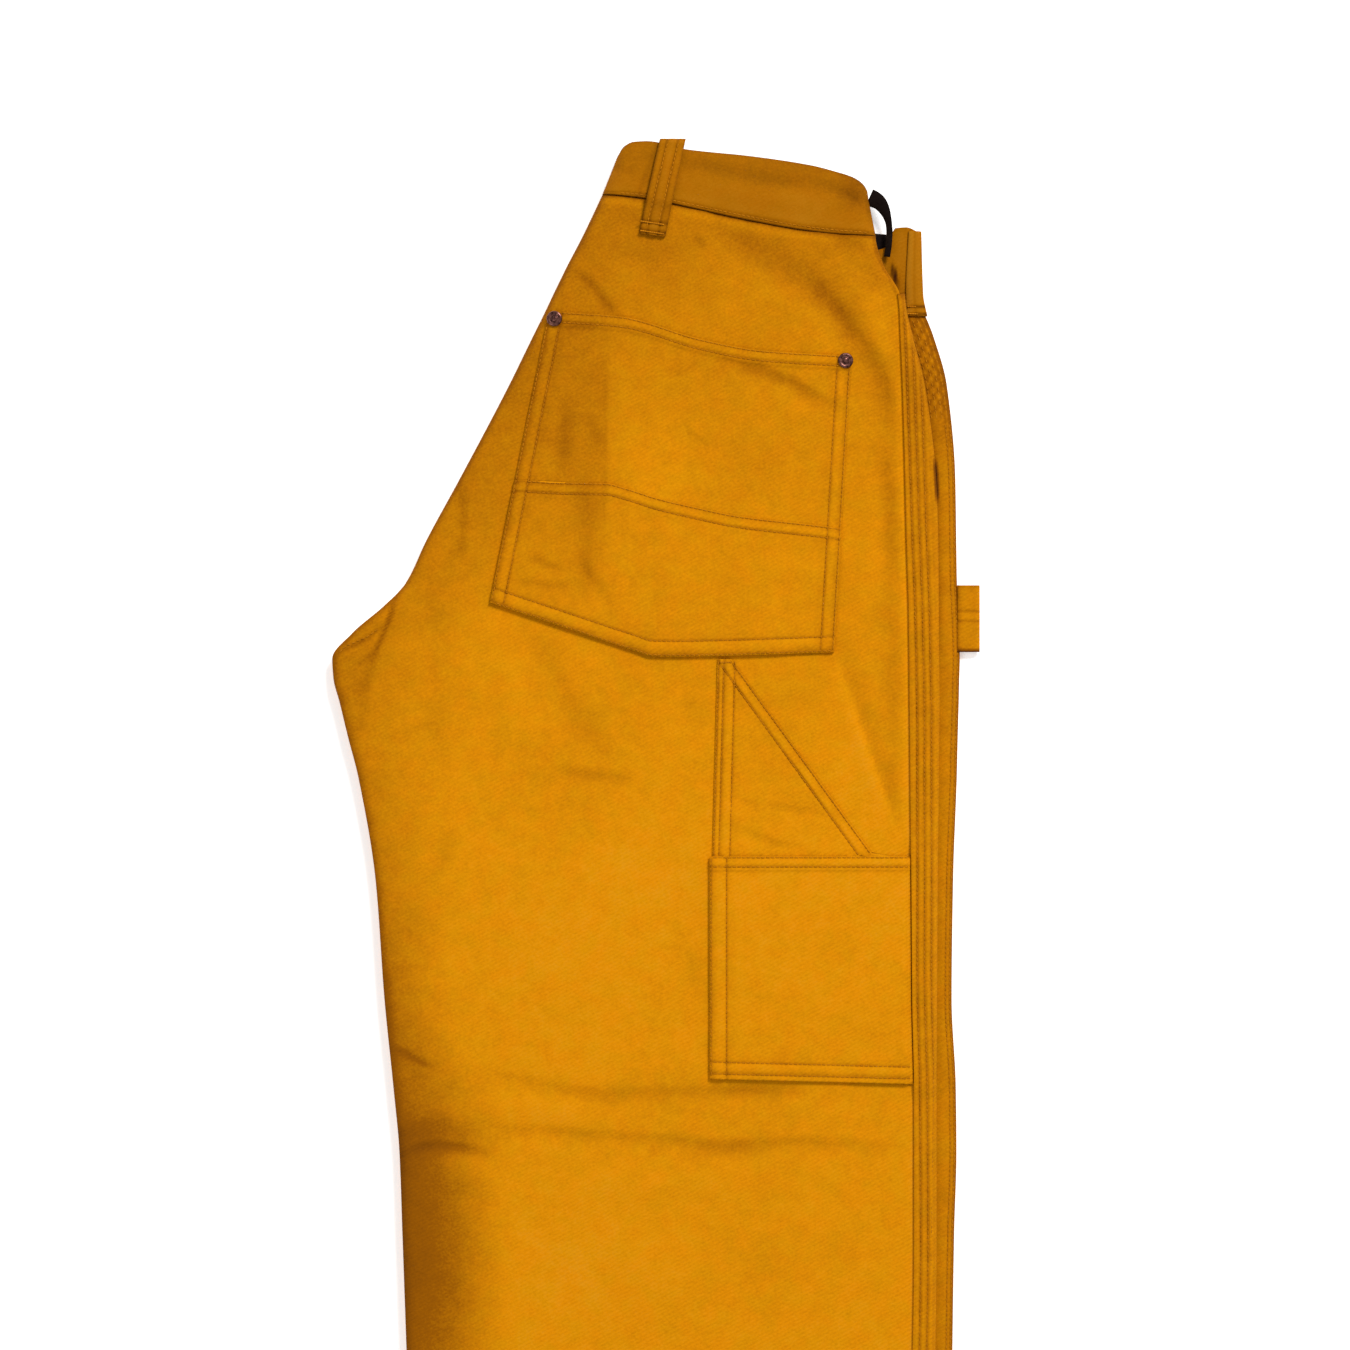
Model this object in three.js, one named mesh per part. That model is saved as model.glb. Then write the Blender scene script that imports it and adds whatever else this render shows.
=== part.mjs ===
// Carpenter pants in heavy cotton twill, folded in half along the centre seams and laid flat.
// The right leg lies on top with its back facing up; the two fronts face each other inside the fold.
// Millimetres. X runs across the leg from the crotch to the outseam, Y from the hems up to the
// waist, and Z up from the surface that the pants lie on.
import * as THREE from "three";

// Cloth and seams
const WALL = 1.5; // one layer of twill with its felled seams
const BAND_WALL = 2.6; // waistband, cloth folded double
const INNER_BAND_WALL = 2.2; // the band's stretches below the top one, pressed flatter
const PATCH_WALL = 1.0; // back pocket
const TOOL_WALL = 0.9; // tool pocket
const THIN_WALL = 0.8; // rule pocket, and the reinforcement on the back pocket
const LOOP_WALL = 1.5; // belt loops and hammer loop
const FACING_WALL = 1.2;
const FLAP_WALL = 0.9;
const SEAM_GAP = 0.3; // between two pieces that are sewn together
const PATCH_GAP = 0.4; // between a patch and the cloth below it
const LAP_STEP = 1.0; // the front's lap stands this much over the back at the outseam
const UNDERLAP = 5; // how far the back runs on below the lap
const FREE_EDGE_DROP = 4.2; // the back's side edge dips this much above the lap's end
const HEM_RISE = 0.8; // the hem, turned up twice, over the leg
const POCKET_HEM_RISE = 0.6;
const POCKET_RIDE = 1.2; // the lap rises this much over the tool pocket's edge

// Levels of the four stacked layers, outer faces
const FRONT_LEFT_LEVEL = 5.6;
const FRONT_RIGHT_LEVEL = 7.4;
const TOP_LEVEL = 12.4;
const WAIST_RISE = 2; // the stack is thicker over the folded front waistbands
const LEG_SEAM_LEVEL = 9; // right inseam
const CENTRE_SEAM_LEVEL = 5.95; // centre back seam, joining the two legs
const UNDER_SEAM_LEVEL = 2.8; // left inseam and left outseam
const FOLD_LEVEL = 9.6; // middle of the right leg's fold at the outseam

// Rounding of the folded edges
const EDGE_ROLL = 14;
const HIP_ROLL = 10;
const FOLD_ROLL = 12;
const UNDER_ROLL = 9;

// Heights above the hems
const HIP_TOP_Y = 1003; // the front's lap ends here, below the side of the waistband
const CENTRE_BACK_Y = 1062.6; // waistband seam at the centre back
const WAIST_TILT_Y = 900; // above this, the rows tilt to the waistband seam
const HEM_DEPTH = 20;
const FRONT_DROP = 18; // the front waist dips this much from the side to the centre front
const WAIST_REACH = 190; // from the centre of the waist to its side
const CENTRE_FRONT_INSET = 13; // the centre front fold lies inside the centre back fold

// Across the waist
const CENTRE_BACK_X = -33;
const SIDE_X = 156.5; // outer side of the left leg's band
const BACK_BAND_SIDE_X = 131.4; // side end of the right back band, at its seam

// A table is a list of rows with named columns.
const table = (columns, ...rows) =>
  rows.map((row) => Object.fromEntries(columns.map((name, i) => [name, row[i]])));

// Outlines of the folded legs: crotch side, lapped edge of the outseam on top, fold of the right
// leg, and outer edge of the left leg, which shows beyond the fold.
const OUTLINE = table(
  ["y", "crotch", "lap", "fold", "under"],
  [0, -133, 143, 158, 169],
  [150, -141, 148, 162.5, 173.5],
  [300, -148, 152, 166, 177],
  [437, -153, 154.2, 168, 179],
  [487, -154.8, 154.2, 168, 180.4],
  [526, -158.4, 154.1, 168, 180],
  [579, -163.8, 153, 168.3, 177.5],
  [651, -169.2, 152.5, 168.7, 178.4],
  [712, -179.4, 151.9, 169.4, 180.6],
  [737, -185.8, 151.7, 169.6, 181.2],
  [758, -190.9, 151.5, 169.8, 181.8],
  [772, -194.5, 151.4, 169.7, 182.1],
  [784, -195.2, 151.3, 169.6, 182.4],
  [799, -183.4, 151.1, 169.5, 182.1],
  [816, -163.8, 150.9, 169.4, 181.4],
  [829, -151.4, 150.5, 169.3, 180.7],
  [855, -138.8, 149.7, 169, 180.3],
  [893, -118.2, 148.8, 167.6, 179.7],
  [947, -89.7, 147.3, 161, 174.6],
  [977, -75, 146, 153.8, 166.4],
  [994, -66.6, 145.3, 149.9, 160],
  [1003, -62.4, 144.2, 149, 157.5],
  [1011, -58.5, 141.2, 148.5, 157],
  [1021, -53.6, 135.9, 148, 157],
  [1037.4, -45, 131.4, 148, 156.5],
  [1062.6, -33, 131.4, 148, 156.5],
);

// Waistband seam and top edge of the right back, and of the left back below it
const SEAM_LINE = table(
  ["x", "y"],
  [-33, 1062.6],
  [-7, 1059.6],
  [20, 1054.2],
  [50, 1047.6],
  [86, 1041],
  [110, 1038.3],
  [130, 1037.4],
);
const BAND_TOP = table(
  ["x", "y"],
  [-24, 1086],
  [-20, 1092],
  [-14, 1094.8],
  [-6, 1095.2],
  [18, 1090.2],
  [56, 1086.2],
  [92, 1080.8],
  [107, 1077],
  [118, 1073.4],
  [124, 1069.4],
  [127.5, 1064],
);
const UNDER_SEAM_LINE = table(["x", "y"], [-33, 1062.6], [157, 1002.5]);
const UNDER_BAND_TOP = table(["x", "y"], [-33, 1086], [132, 1040], [157, 1038.5]);
const FRONT_BAND_TOP = table(
  ["x", "y"],
  [-50, 1022],
  [120, 1028],
  [137, 1031],
  [143.5, 1043],
  [150, 1043.5],
  [157, 1041],
);

// The largest folds of the cloth that lies on top: troughs have a negative depth, ridges a
// positive one, and each runs straight from its first point to its second.
const FOLDS = table(
  ["x0", "y0", "x1", "y1", "halfWidth", "depth"],
  [32, 1044, 89, 1021, 11, -1.2],
  [89, 1021, 122, 979, 11, -1.5],
  [122, 979, 143, 930, 10, -1.2],
  [60, 1030, 112, 985, 10, 0.6],
  [-157, 821, -172, 787, 6, -1.4],
  [-133, 840, -138, 747, 12, -0.9],
  [-68, 784, -34, 729, 11, -0.8],
  [106, 776, 133, 690, 9, 0.7],
  [-150, 549, -133, 541, 7, -1],
  [-95, 532, 86, 519, 8, -1],
  [-130, 515, -10, 508, 9, 0.8],
  [-151, 489, -112, 490, 8, -1.3],
  [-105, 497, -20, 492, 9, -0.8],
  [-120, 330, 60, 322, 10, -1],
  [-20, 180, 120, 190, 10, -0.9],
);

// Corners of the patches, in plan
const BACK_POCKET = {
  topLeft: [-61, 991.2],
  topMiddle: [26, 975.5],
  topRight: [116.6, 965.2],
  bottomRight: [106.2, 787.6],
  bottomMiddle: [-1.2, 785.4],
  bottomLeft: [-100.2, 817.4],
};
const PATCH_TOP = { left: [-80.4, 889], middle: [-25, 884], right: [111.2, 861] };
const TOOL_POCKET = { left: 32.4, top: 663.8, bottomLeft: 531.6, bottomRight: 528.6 };
const RULE_POCKET = { topLeft: [36.2, 783.6], slantEnd: [129, 667], bottom: 534, lean: 3 };

const smoothstep = (from, to, v) => THREE.MathUtils.smoothstep(v, from, to);
const { lerp, clamp } = THREE.MathUtils;

// A smooth curve through a table's rows that never overshoots them (monotone cubic).
function curve(rows, key, value) {
  const k = rows.map((r) => r[key]);
  const v = rows.map((r) => r[value]);
  const slope = k.slice(1).map((next, i) => (v[i + 1] - v[i]) / (next - k[i]));
  const tangent = v.map((_, i) => {
    if (i === 0) return slope[0];
    if (i === v.length - 1) return slope[i - 1];
    const [a, b] = [slope[i - 1], slope[i]];
    return a * b <= 0 ? 0 : (2 * a * b) / (a + b);
  });
  return (at) => {
    const q = clamp(at, k[0], k[k.length - 1]);
    let i = k.findIndex((next) => next > q) - 1;
    if (i < 0) i = k.length - 2;
    const h = k[i + 1] - k[i];
    const s = (q - k[i]) / h;
    const s2 = s * s;
    const s3 = s2 * s;
    return (
      (2 * s3 - 3 * s2 + 1) * v[i] +
      (s3 - 2 * s2 + s) * h * tangent[i] +
      (3 * s2 - 2 * s3) * v[i + 1] +
      (s3 - s2) * h * tangent[i + 1]
    );
  };
}

const crotchEdge = curve(OUTLINE, "y", "crotch");
const lapEdge = curve(OUTLINE, "y", "lap");
const foldEdge = curve(OUTLINE, "y", "fold");
const underEdge = curve(OUTLINE, "y", "under");
const seamLine = curve(SEAM_LINE, "x", "y");
const bandTop = curve(BAND_TOP, "x", "y");
const underSeamLine = curve(UNDER_SEAM_LINE, "x", "y");
const underBandTop = curve(UNDER_BAND_TOP, "x", "y");
const frontBandTop = curve(FRONT_BAND_TOP, "x", "y");
const frontSeamLine = (x) => HIP_TOP_Y - (FRONT_DROP * (150 - x)) / WAIST_REACH;

// Height that the folds add at a point
function folds(x, y) {
  return FOLDS.reduce((sum, f) => {
    const [dx, dy] = [f.x1 - f.x0, f.y1 - f.y0];
    const along = ((x - f.x0) * dx + (y - f.y0) * dy) / (dx * dx + dy * dy);
    const s = clamp(along, 0, 1);
    const off = Math.hypot(x - f.x0 - s * dx, y - f.y0 - s * dy) / f.halfWidth;
    return sum + f.depth * Math.exp(-off * off);
  }, 0);
}

// The right back's outer face, which every patch is laid on
const topLevel = (y) => TOP_LEVEL + WAIST_RISE * smoothstep(WAIST_TILT_Y, 1000, y);
const edgeRoll = (y) => lerp(EDGE_ROLL, HIP_ROLL, smoothstep(790, 860, y));
const joinLevel = (y) => lerp(LEG_SEAM_LEVEL, CENTRE_SEAM_LEVEL, smoothstep(796, 832, y));
function topFace(x, y) {
  const inside = x - crotchEdge(y);
  const roll = edgeRoll(y);
  const base = joinLevel(y) + SEAM_GAP / 2;
  const rise = topLevel(y) - base;
  const share = clamp(inside / roll, 0, 1);
  const rolled = base + rise * Math.sqrt(1 - (1 - share) ** 2);
  const dip = (LAP_STEP - 0.1) * smoothstep(lapEdge(y) - 7, lapEdge(y) - 2, x);
  const flat = 1 - smoothstep(lapEdge(y) - 12, lapEdge(y) - 5, x);
  const hem = HEM_RISE * (1 - smoothstep(HEM_DEPTH - 1, HEM_DEPTH + 1, y)) * flat;
  const lapped = 1 - smoothstep(HIP_TOP_Y + 3, HIP_TOP_Y + 14, y);
  return rolled - dip * lapped + hem + folds(x, y) * share;
}

// A closed sheet from two grids of points, one for each face.
function sheet(outer, inner) {
  const rows = outer.length;
  const cols = outer[0].length;
  const position = [...outer.flat(), ...inner.flat()].flat();
  const index = [];
  const at = (side, i, j) => (side * rows + i) * cols + j;
  const quad = (a, b, c, d) => index.push(a, b, c, a, c, d);
  for (let i = 0; i + 1 < rows; i++) {
    for (let j = 0; j + 1 < cols; j++) {
      quad(at(0, i, j), at(0, i, j + 1), at(0, i + 1, j + 1), at(0, i + 1, j));
      quad(at(1, i, j), at(1, i + 1, j), at(1, i + 1, j + 1), at(1, i, j + 1));
    }
    quad(at(0, i, 0), at(0, i + 1, 0), at(1, i + 1, 0), at(1, i, 0));
    quad(at(0, i + 1, cols - 1), at(0, i, cols - 1), at(1, i, cols - 1), at(1, i + 1, cols - 1));
  }
  for (let j = 0; j + 1 < cols; j++) {
    quad(at(0, 0, j + 1), at(0, 0, j), at(1, 0, j), at(1, 0, j + 1));
    quad(at(0, rows - 1, j), at(0, rows - 1, j + 1), at(1, rows - 1, j + 1), at(1, rows - 1, j));
  }
  if (signedVolume(position, index) < 0) {
    for (let i = 0; i < index.length; i += 3) {
      [index[i + 1], index[i + 2]] = [index[i + 2], index[i + 1]];
    }
  }
  const geometry = new THREE.BufferGeometry();
  geometry.setAttribute("position", new THREE.Float32BufferAttribute(position, 3));
  geometry.setIndex(index);
  geometry.computeVertexNormals();
  return geometry;
}

function signedVolume(position, index) {
  const [a, b, c] = [new THREE.Vector3(), new THREE.Vector3(), new THREE.Vector3()];
  let six = 0;
  for (let i = 0; i < index.length; i += 3) {
    a.fromArray(position, index[i] * 3);
    b.fromArray(position, index[i + 1] * 3);
    c.fromArray(position, index[i + 2] * 3);
    six += a.dot(b.cross(c));
  }
  return six / 6;
}

// Evenly spaced values from first to last, both included.
const steps = (first, last, count) =>
  Array.from({ length: count + 1 }, (_, i) => lerp(first, last, i / count));

// Heights of a panel's cross-sections: the same for all four panels where the outline turns at the
// crotch, and wider apart down the legs.
function sectionHeights(top, spacing, waistSpacing) {
  const bands = table(
    ["to", "step"],
    [HEM_DEPTH - 1, HEM_DEPTH],
    [HEM_DEPTH + 1, 2],
    [420, 66],
    [740, spacing],
    [860, 10],
    [top, waistSpacing],
  );
  const heights = [0];
  for (const band of bands) {
    const from = heights[heights.length - 1];
    const count = Math.max(1, Math.round((band.to - from) / band.step));
    heights.push(...steps(from, band.to, count).slice(1));
  }
  return heights;
}

// One rounded edge of a cloth wall, as points from the edge inwards or the other way round.
// side is -1 for the crotch side and 1 for the outseam; up is 1 for a wall that faces up.
function rolledEdge({ edge, side, up, level, face, roll, wall, count }) {
  const rise = Math.abs(face - level);
  const innerRise = Math.max(rise - wall, 0.05);
  const shrink = wall * clamp(rise / wall, 0.1, 1);
  const points = steps(0, Math.PI / 2, count).map((angle) => ({
    x: edge - side * roll * (1 - Math.cos(angle)),
    z: face - up * rise * (1 - Math.sin(angle)),
    xi: edge - side * (shrink + (roll - shrink) * (1 - Math.cos(angle))),
    zi: face - up * (wall + innerRise * (1 - Math.sin(angle))),
  }));
  return side < 0 ? points : points.reverse();
}

// Panels are lists of cross-sections, each a list of points of the outer and the inner face.
function panel(heights, section, shift) {
  const rows = heights.map((y0) => section(y0));
  const lifted = (row, y0, x, z) => [row[x], y0 + shift(row[x], y0), row[z]];
  const outer = rows.map((row, i) => row.map((p) => lifted(p, heights[i], "x", "z")));
  const inner = rows.map((row, i) => row.map((p) => lifted(p, heights[i], "xi", "zi")));
  return sheet(outer, inner);
}

// The rows of a back panel tilt to the waistband seam over its top stretch.
const tilt = (line, x, y0) =>
  (line(x) - CENTRE_BACK_Y) * smoothstep(WAIST_TILT_Y, CENTRE_BACK_Y, y0) ** 1.5;
const backShift = (x, y0) => tilt(seamLine, x, y0);
const underShift = (x, y0) => tilt(underSeamLine, x, y0);
const frontShift = (x, y0) => (frontSeamLine(x) - HIP_TOP_Y) * smoothstep(860, HIP_TOP_Y, y0);

function backRightSection(y0) {
  const y = y0 + backShift(130, y0);
  const free = smoothstep(HIP_TOP_Y - 3, HIP_TOP_Y + 12, y);
  const lapped = Math.min(UNDERLAP, 0.3 * (foldEdge(y) - lapEdge(y)));
  const end = lapEdge(y) + lapped * (1 - free);
  const turn = lerp(3, 8, free);
  const start = crotchEdge(y0);
  const roll = edgeRoll(y0);
  const left = rolledEdge({
    edge: start,
    side: -1,
    up: 1,
    level: joinLevel(y0) + SEAM_GAP / 2,
    face: topLevel(y0),
    roll,
    wall: WALL,
    count: 4,
  });
  const dipX = lerp(end - 13, end - 20, free);
  const flatX = [...steps(start + roll, dipX, 15).slice(1), lerp(dipX, end - turn, 0.6)];
  const flat = flatX.map((x) => {
    const z = topFace(x, y0 + backShift(x, y0));
    return { x, z, xi: x, zi: z - WALL };
  });
  const endFace = topFace(end - turn, y);
  const right = rolledEdge({
    edge: end,
    side: 1,
    up: 1,
    level: endFace - FREE_EDGE_DROP * free,
    face: endFace,
    roll: turn,
    wall: WALL,
    count: 3,
  });
  return [...left, ...flat, ...right];
}

const frontStart = (y) => crotchEdge(y) + CENTRE_FRONT_INSET * smoothstep(770, 798, y);
const pocketRide = (y) => POCKET_RIDE * smoothstep(518, 532, y) * (1 - smoothstep(664, 680, y));

function frontRightSection(y0) {
  const width = foldEdge(y0) - lapEdge(y0);
  const roll = Math.min(FOLD_ROLL, 0.75 * width);
  const lapFace = topLevel(y0) + LAP_STEP + pocketRide(y0);
  const upper = rolledEdge({
    edge: foldEdge(y0),
    side: 1,
    up: 1,
    level: FOLD_LEVEL,
    face: lapFace,
    roll,
    wall: WALL,
    count: 3,
  });
  const lower = rolledEdge({
    edge: foldEdge(y0),
    side: 1,
    up: -1,
    level: FOLD_LEVEL,
    face: FRONT_RIGHT_LEVEL,
    roll,
    wall: WALL,
    count: 3,
  }).reverse();
  const start = frontStart(y0);
  const reach = foldEdge(y0) - roll;
  const flat = steps(reach, start + UNDER_ROLL, 7)
    .slice(1, -1)
    .map((x) => ({ x, z: FRONT_RIGHT_LEVEL, xi: x, zi: FRONT_RIGHT_LEVEL + WALL }));
  const left = rolledEdge({
    edge: start,
    side: -1,
    up: -1,
    level: Math.max(joinLevel(y0) - SEAM_GAP / 2, FRONT_RIGHT_LEVEL),
    face: FRONT_RIGHT_LEVEL,
    roll: UNDER_ROLL,
    wall: WALL,
    count: 3,
  }).reverse();
  const lap = { x: lapEdge(y0), z: lapFace, xi: lapEdge(y0), zi: lapFace - WALL };
  return [lap, ...upper, ...lower.slice(1), ...flat, ...left];
}

function frontLeftSection(y0) {
  const start = frontStart(y0);
  const end = underEdge(y0);
  const level = UNDER_SEAM_LEVEL + SEAM_GAP / 2;
  const left = rolledEdge({
    edge: start,
    side: -1,
    up: 1,
    level: lerp(level, FRONT_LEFT_LEVEL, smoothstep(796, 832, y0)),
    face: FRONT_LEFT_LEVEL,
    roll: UNDER_ROLL,
    wall: WALL,
    count: 3,
  });
  const flat = steps(start + UNDER_ROLL, end - UNDER_ROLL, 6)
    .slice(1, -1)
    .map((x) => ({ x, z: FRONT_LEFT_LEVEL, xi: x, zi: FRONT_LEFT_LEVEL - WALL }));
  const right = rolledEdge({
    edge: end,
    side: 1,
    up: 1,
    level,
    face: FRONT_LEFT_LEVEL,
    roll: UNDER_ROLL,
    wall: WALL,
    count: 4,
  });
  return [...left, ...flat, ...right];
}

function backLeftSection(y0) {
  const y = y0 + underShift(157, y0);
  const level = UNDER_SEAM_LEVEL - SEAM_GAP / 2;
  const centre = CENTRE_SEAM_LEVEL - SEAM_GAP / 2;
  const start = crotchEdge(y0);
  const end = underEdge(y);
  const left = rolledEdge({
    edge: start,
    side: -1,
    up: -1,
    level: lerp(level, centre, smoothstep(796, 832, y0)),
    face: 0,
    roll: UNDER_ROLL,
    wall: WALL,
    count: 3,
  });
  const flat = steps(start + UNDER_ROLL, end - UNDER_ROLL, 6)
    .slice(1, -1)
    .map((x) => ({ x, z: 0, xi: x, zi: WALL }));
  const right = rolledEdge({
    edge: end,
    side: 1,
    up: -1,
    level,
    face: 0,
    roll: UNDER_ROLL,
    wall: WALL,
    count: 3,
  });
  return [...left, ...flat, ...right];
}

// Stretches of the waistband: rows run across the band from its seam to its top edge.
function band({ left, right, low, high, face, wall, up, leftLevel, rightLevel, roll, count }) {
  const across = steps(0, 1, 4).map((v) => {
    const [start, end] = [left(v), right(v)];
    const shared = { up, wall, roll };
    const first = rolledEdge({
      ...shared,
      edge: start,
      side: -1,
      level: leftLevel(v),
      face: face(start + roll, v),
      count: 3,
    });
    const last = rolledEdge({
      ...shared,
      edge: end,
      side: 1,
      level: rightLevel(v),
      face: face(end - roll, v),
      count: 3,
    });
    const flat = steps(start + roll, end - roll, count)
      .slice(1, -1)
      .map((x) => ({ x, z: face(x, v), xi: x, zi: face(x, v) - up * wall }));
    return [...first, ...flat, ...last].map((p) => ({ ...p, v }));
  });
  const place = (p, x, z) => [p[x], lerp(low(p[x]), high(p[x]), p.v), p[z]];
  return sheet(
    across.map((row) => row.map((p) => place(p, "x", "z"))),
    across.map((row) => row.map((p) => place(p, "xi", "zi"))),
  );
}

// The right back stretch slopes down from its seam to its top edge, over the folded fronts.
const bandFace = (x, v) =>
  lerp(topLevel(CENTRE_BACK_Y) + 0.9, 7.6, v ** 1.4) +
  0.8 * Math.exp(-(((x - 60) / 26) ** 2)) * Math.sin(Math.PI * v);
const bandStart = (v) => lerp(CENTRE_BACK_X, -24, v);
const waistbandBackRight = () =>
  band({
    left: bandStart,
    right: (v) => lerp(BACK_BAND_SIDE_X, 126.6, v),
    low: (x) => seamLine(x) + SEAM_GAP,
    high: bandTop,
    face: bandFace,
    wall: BAND_WALL,
    up: 1,
    leftLevel: (v) => lerp(CENTRE_SEAM_LEVEL + 0.2, 3.3, v),
    rightLevel: (v) => lerp(9.2, 4.4, v),
    roll: 9,
    count: 14,
  });
const waistbandBackLeft = () =>
  band({
    left: bandStart,
    right: () => SIDE_X,
    low: (x) => underSeamLine(x) + SEAM_GAP,
    high: underBandTop,
    face: () => 0,
    wall: INNER_BAND_WALL,
    up: -1,
    leftLevel: (v) => lerp(CENTRE_SEAM_LEVEL - 0.2, 2.9, v),
    rightLevel: () => 2.6,
    roll: 8,
    count: 6,
  });
const waistbandFrontLeft = () =>
  band({
    left: () => -40,
    right: () => SIDE_X,
    low: (x) => frontSeamLine(x) + SEAM_GAP,
    high: frontBandTop,
    face: () => 5.2,
    wall: INNER_BAND_WALL,
    up: 1,
    leftLevel: () => 5.1,
    rightLevel: () => 2.9,
    roll: 8,
    count: 10,
  });
const waistbandFrontRight = () =>
  band({
    left: () => -40,
    right: (v) => lerp(141, 127, v),
    low: (x) => frontSeamLine(x) + SEAM_GAP,
    high: (x) => 1022 + (12 * (x + 50)) / WAIST_REACH,
    face: () => 8,
    wall: INNER_BAND_WALL,
    up: -1,
    leftLevel: () => 8.1,
    rightLevel: () => 8.1,
    roll: 6,
    count: 5,
  });

// A patch laid on the cloth: across and down are the shares of its width and height where it has
// points, and each point is put on the face below it and moved out. hem raises its top edge.
function patch({ point, across, down, on, gap, wall, hem = () => 0 }) {
  const grid = (offset) =>
    down.map((v) =>
      across.map((u) => {
        const [x, y] = point(u, v);
        return [x, y, on(x, y) + offset(u, v)];
      }),
    );
  return sheet(
    grid((u, v) => gap + wall + hem(u, v)),
    grid(() => gap),
  );
}

const mix = (a, b, s) => [lerp(a[0], b[0], s), lerp(a[1], b[1], s)];
// A line through three points, with the middle one at share.
const bent = (a, b, c, share, s) =>
  s < share ? mix(a, b, s / share) : mix(b, c, (s - share) / (1 - share));

const pocketTop = (u) => {
  const p = BACK_POCKET;
  return bent(p.topLeft, p.topMiddle, p.topRight, 0.5, u);
};
const pocketBottom = (u) => {
  const p = BACK_POCKET;
  return bent(p.bottomLeft, p.bottomMiddle, p.bottomRight, 0.5, u);
};
const backPocket = () =>
  patch({
    point: (u, v) => mix(pocketTop(u), pocketBottom(u), v),
    across: [0, 0.022, 0.05, ...steps(0.12, 1, 11)],
    down: [0, 0.07, 0.09, ...steps(0.17, 1, 10)],
    on: topFace,
    gap: PATCH_GAP,
    wall: PATCH_WALL,
    hem: (u, v) => POCKET_HEM_RISE * (1 - smoothstep(0.07, 0.09, v)),
  });
const pocketReinforcement = () =>
  patch({
    point: (u, v) =>
      mix(bent(PATCH_TOP.left, PATCH_TOP.middle, PATCH_TOP.right, 0.3, u), pocketBottom(u), v),
    across: steps(0, 1, 11),
    down: steps(0, 1, 6),
    on: topFace,
    gap: PATCH_GAP + PATCH_WALL + SEAM_GAP,
    wall: THIN_WALL,
  });

// The rule pocket's mouth slants from below the back pocket to the outseam. Its lower part lies
// under the tool pocket, and both end in the same seam at the bottom.
function rulePoint(u, y) {
  const { topLeft, slantEnd, lean } = RULE_POCKET;
  const left = topLeft[0] - lean * smoothstep(topLeft[1], slantEnd[1], y);
  const slant = (topLeft[1] - y) / (topLeft[1] - slantEnd[1]);
  const right = y < slantEnd[1] ? lapEdge(y) - 9 : lerp(topLeft[0] + 8, slantEnd[0], slant);
  return [lerp(left, right, u), y];
}
function rulePocket() {
  const { topLeft, slantEnd, bottom } = RULE_POCKET;
  return patch({
    point: rulePoint,
    across: steps(0, 1, 6),
    down: [...steps(topLeft[1], slantEnd[1], 8), ...steps(slantEnd[1] - 5, bottom, 4)],
    on: topFace,
    gap: PATCH_GAP,
    wall: THIN_WALL,
  });
}
function toolPoint(u, v) {
  const { left, top, bottomLeft, bottomRight } = TOOL_POCKET;
  const y = lerp(top, lerp(bottomLeft, bottomRight, u), v);
  return [lerp(left, lapEdge(y) - 1, u), y];
}
const toolPocket = () =>
  patch({
    point: toolPoint,
    across: [...steps(0, 0.93, 7), 1],
    down: [0, 0.06, 0.1, ...steps(0.24, 1, 6)],
    on: topFace,
    gap: PATCH_GAP + THIN_WALL + 0.45,
    wall: TOOL_WALL,
    hem: (u, v) => 0.5 * (1 - smoothstep(0.06, 0.1, v)),
  });

// The back belt loop leans with the band and stands a little off it in the middle. Its lower end
// runs askew.
const BACK_LOOP = { top: [10.2, 1096.4], bottom: [-2.2, 1037.6], width: 14.5, skew: -0.15 };
function backLoop() {
  const { top, bottom, width, skew } = BACK_LOOP;
  const grid = (offset) =>
    steps(0, 1, 12).map((v) => {
      const [x, y] = mix(bottom, top, v);
      return steps(-width / 2, width / 2, 3).map((w) => {
        const across = clamp((y - seamLine(x)) / (bandTop(x) - seamLine(x)), 0, 1);
        const below = topFace(x, y) + 0.4;
        const beside = bandFace(x, across) + 0.5;
        const off = 1.2 * Math.sin(Math.PI * v) ** 0.6;
        const face = lerp(below, beside, smoothstep(-6, 2, y - seamLine(x)));
        return [x + w, y + w * skew * (1 - v), Math.max(face, below - 6 * across) + off + offset];
      });
    });
  return sheet(grid(LOOP_WALL), grid(0));
}

// The left side's belt loop wraps the rounded edge of the band and the leg.
const SIDE_LOOP = table(
  ["y", "left", "right"],
  [990, 150.2, 162.8],
  [1003, 150, 159.6],
  [1041, 152, 158.4],
);
const SIDE_LOOP_LOW = 3.2; // inner level where the loop goes under the edge
const SIDE_LOOP_HIGH = 6.2; // inner level over the band and the leg
function sideLoop() {
  const left = curve(SIDE_LOOP, "y", "left");
  const right = curve(SIDE_LOOP, "y", "right");
  const [bottom, top] = [SIDE_LOOP[0].y, SIDE_LOOP[SIDE_LOOP.length - 1].y];
  const grid = (offset) =>
    steps(bottom, top, 8).map((y) => {
      const puff = 0.7 * Math.sin((Math.PI * (y - bottom)) / (top - bottom));
      const reach = right(y) - left(y);
      const high = SIDE_LOOP_HIGH + puff + offset;
      return steps(0, Math.PI / 2, 5).map((angle) => [
        right(y) + offset - (reach + offset) * (1 - Math.sin(angle)),
        y,
        SIDE_LOOP_LOW + (high - SIDE_LOOP_LOW) * Math.cos(angle) ** 0.6,
      ]);
    });
  return sheet(grid(LOOP_WALL), grid(0));
}

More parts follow.
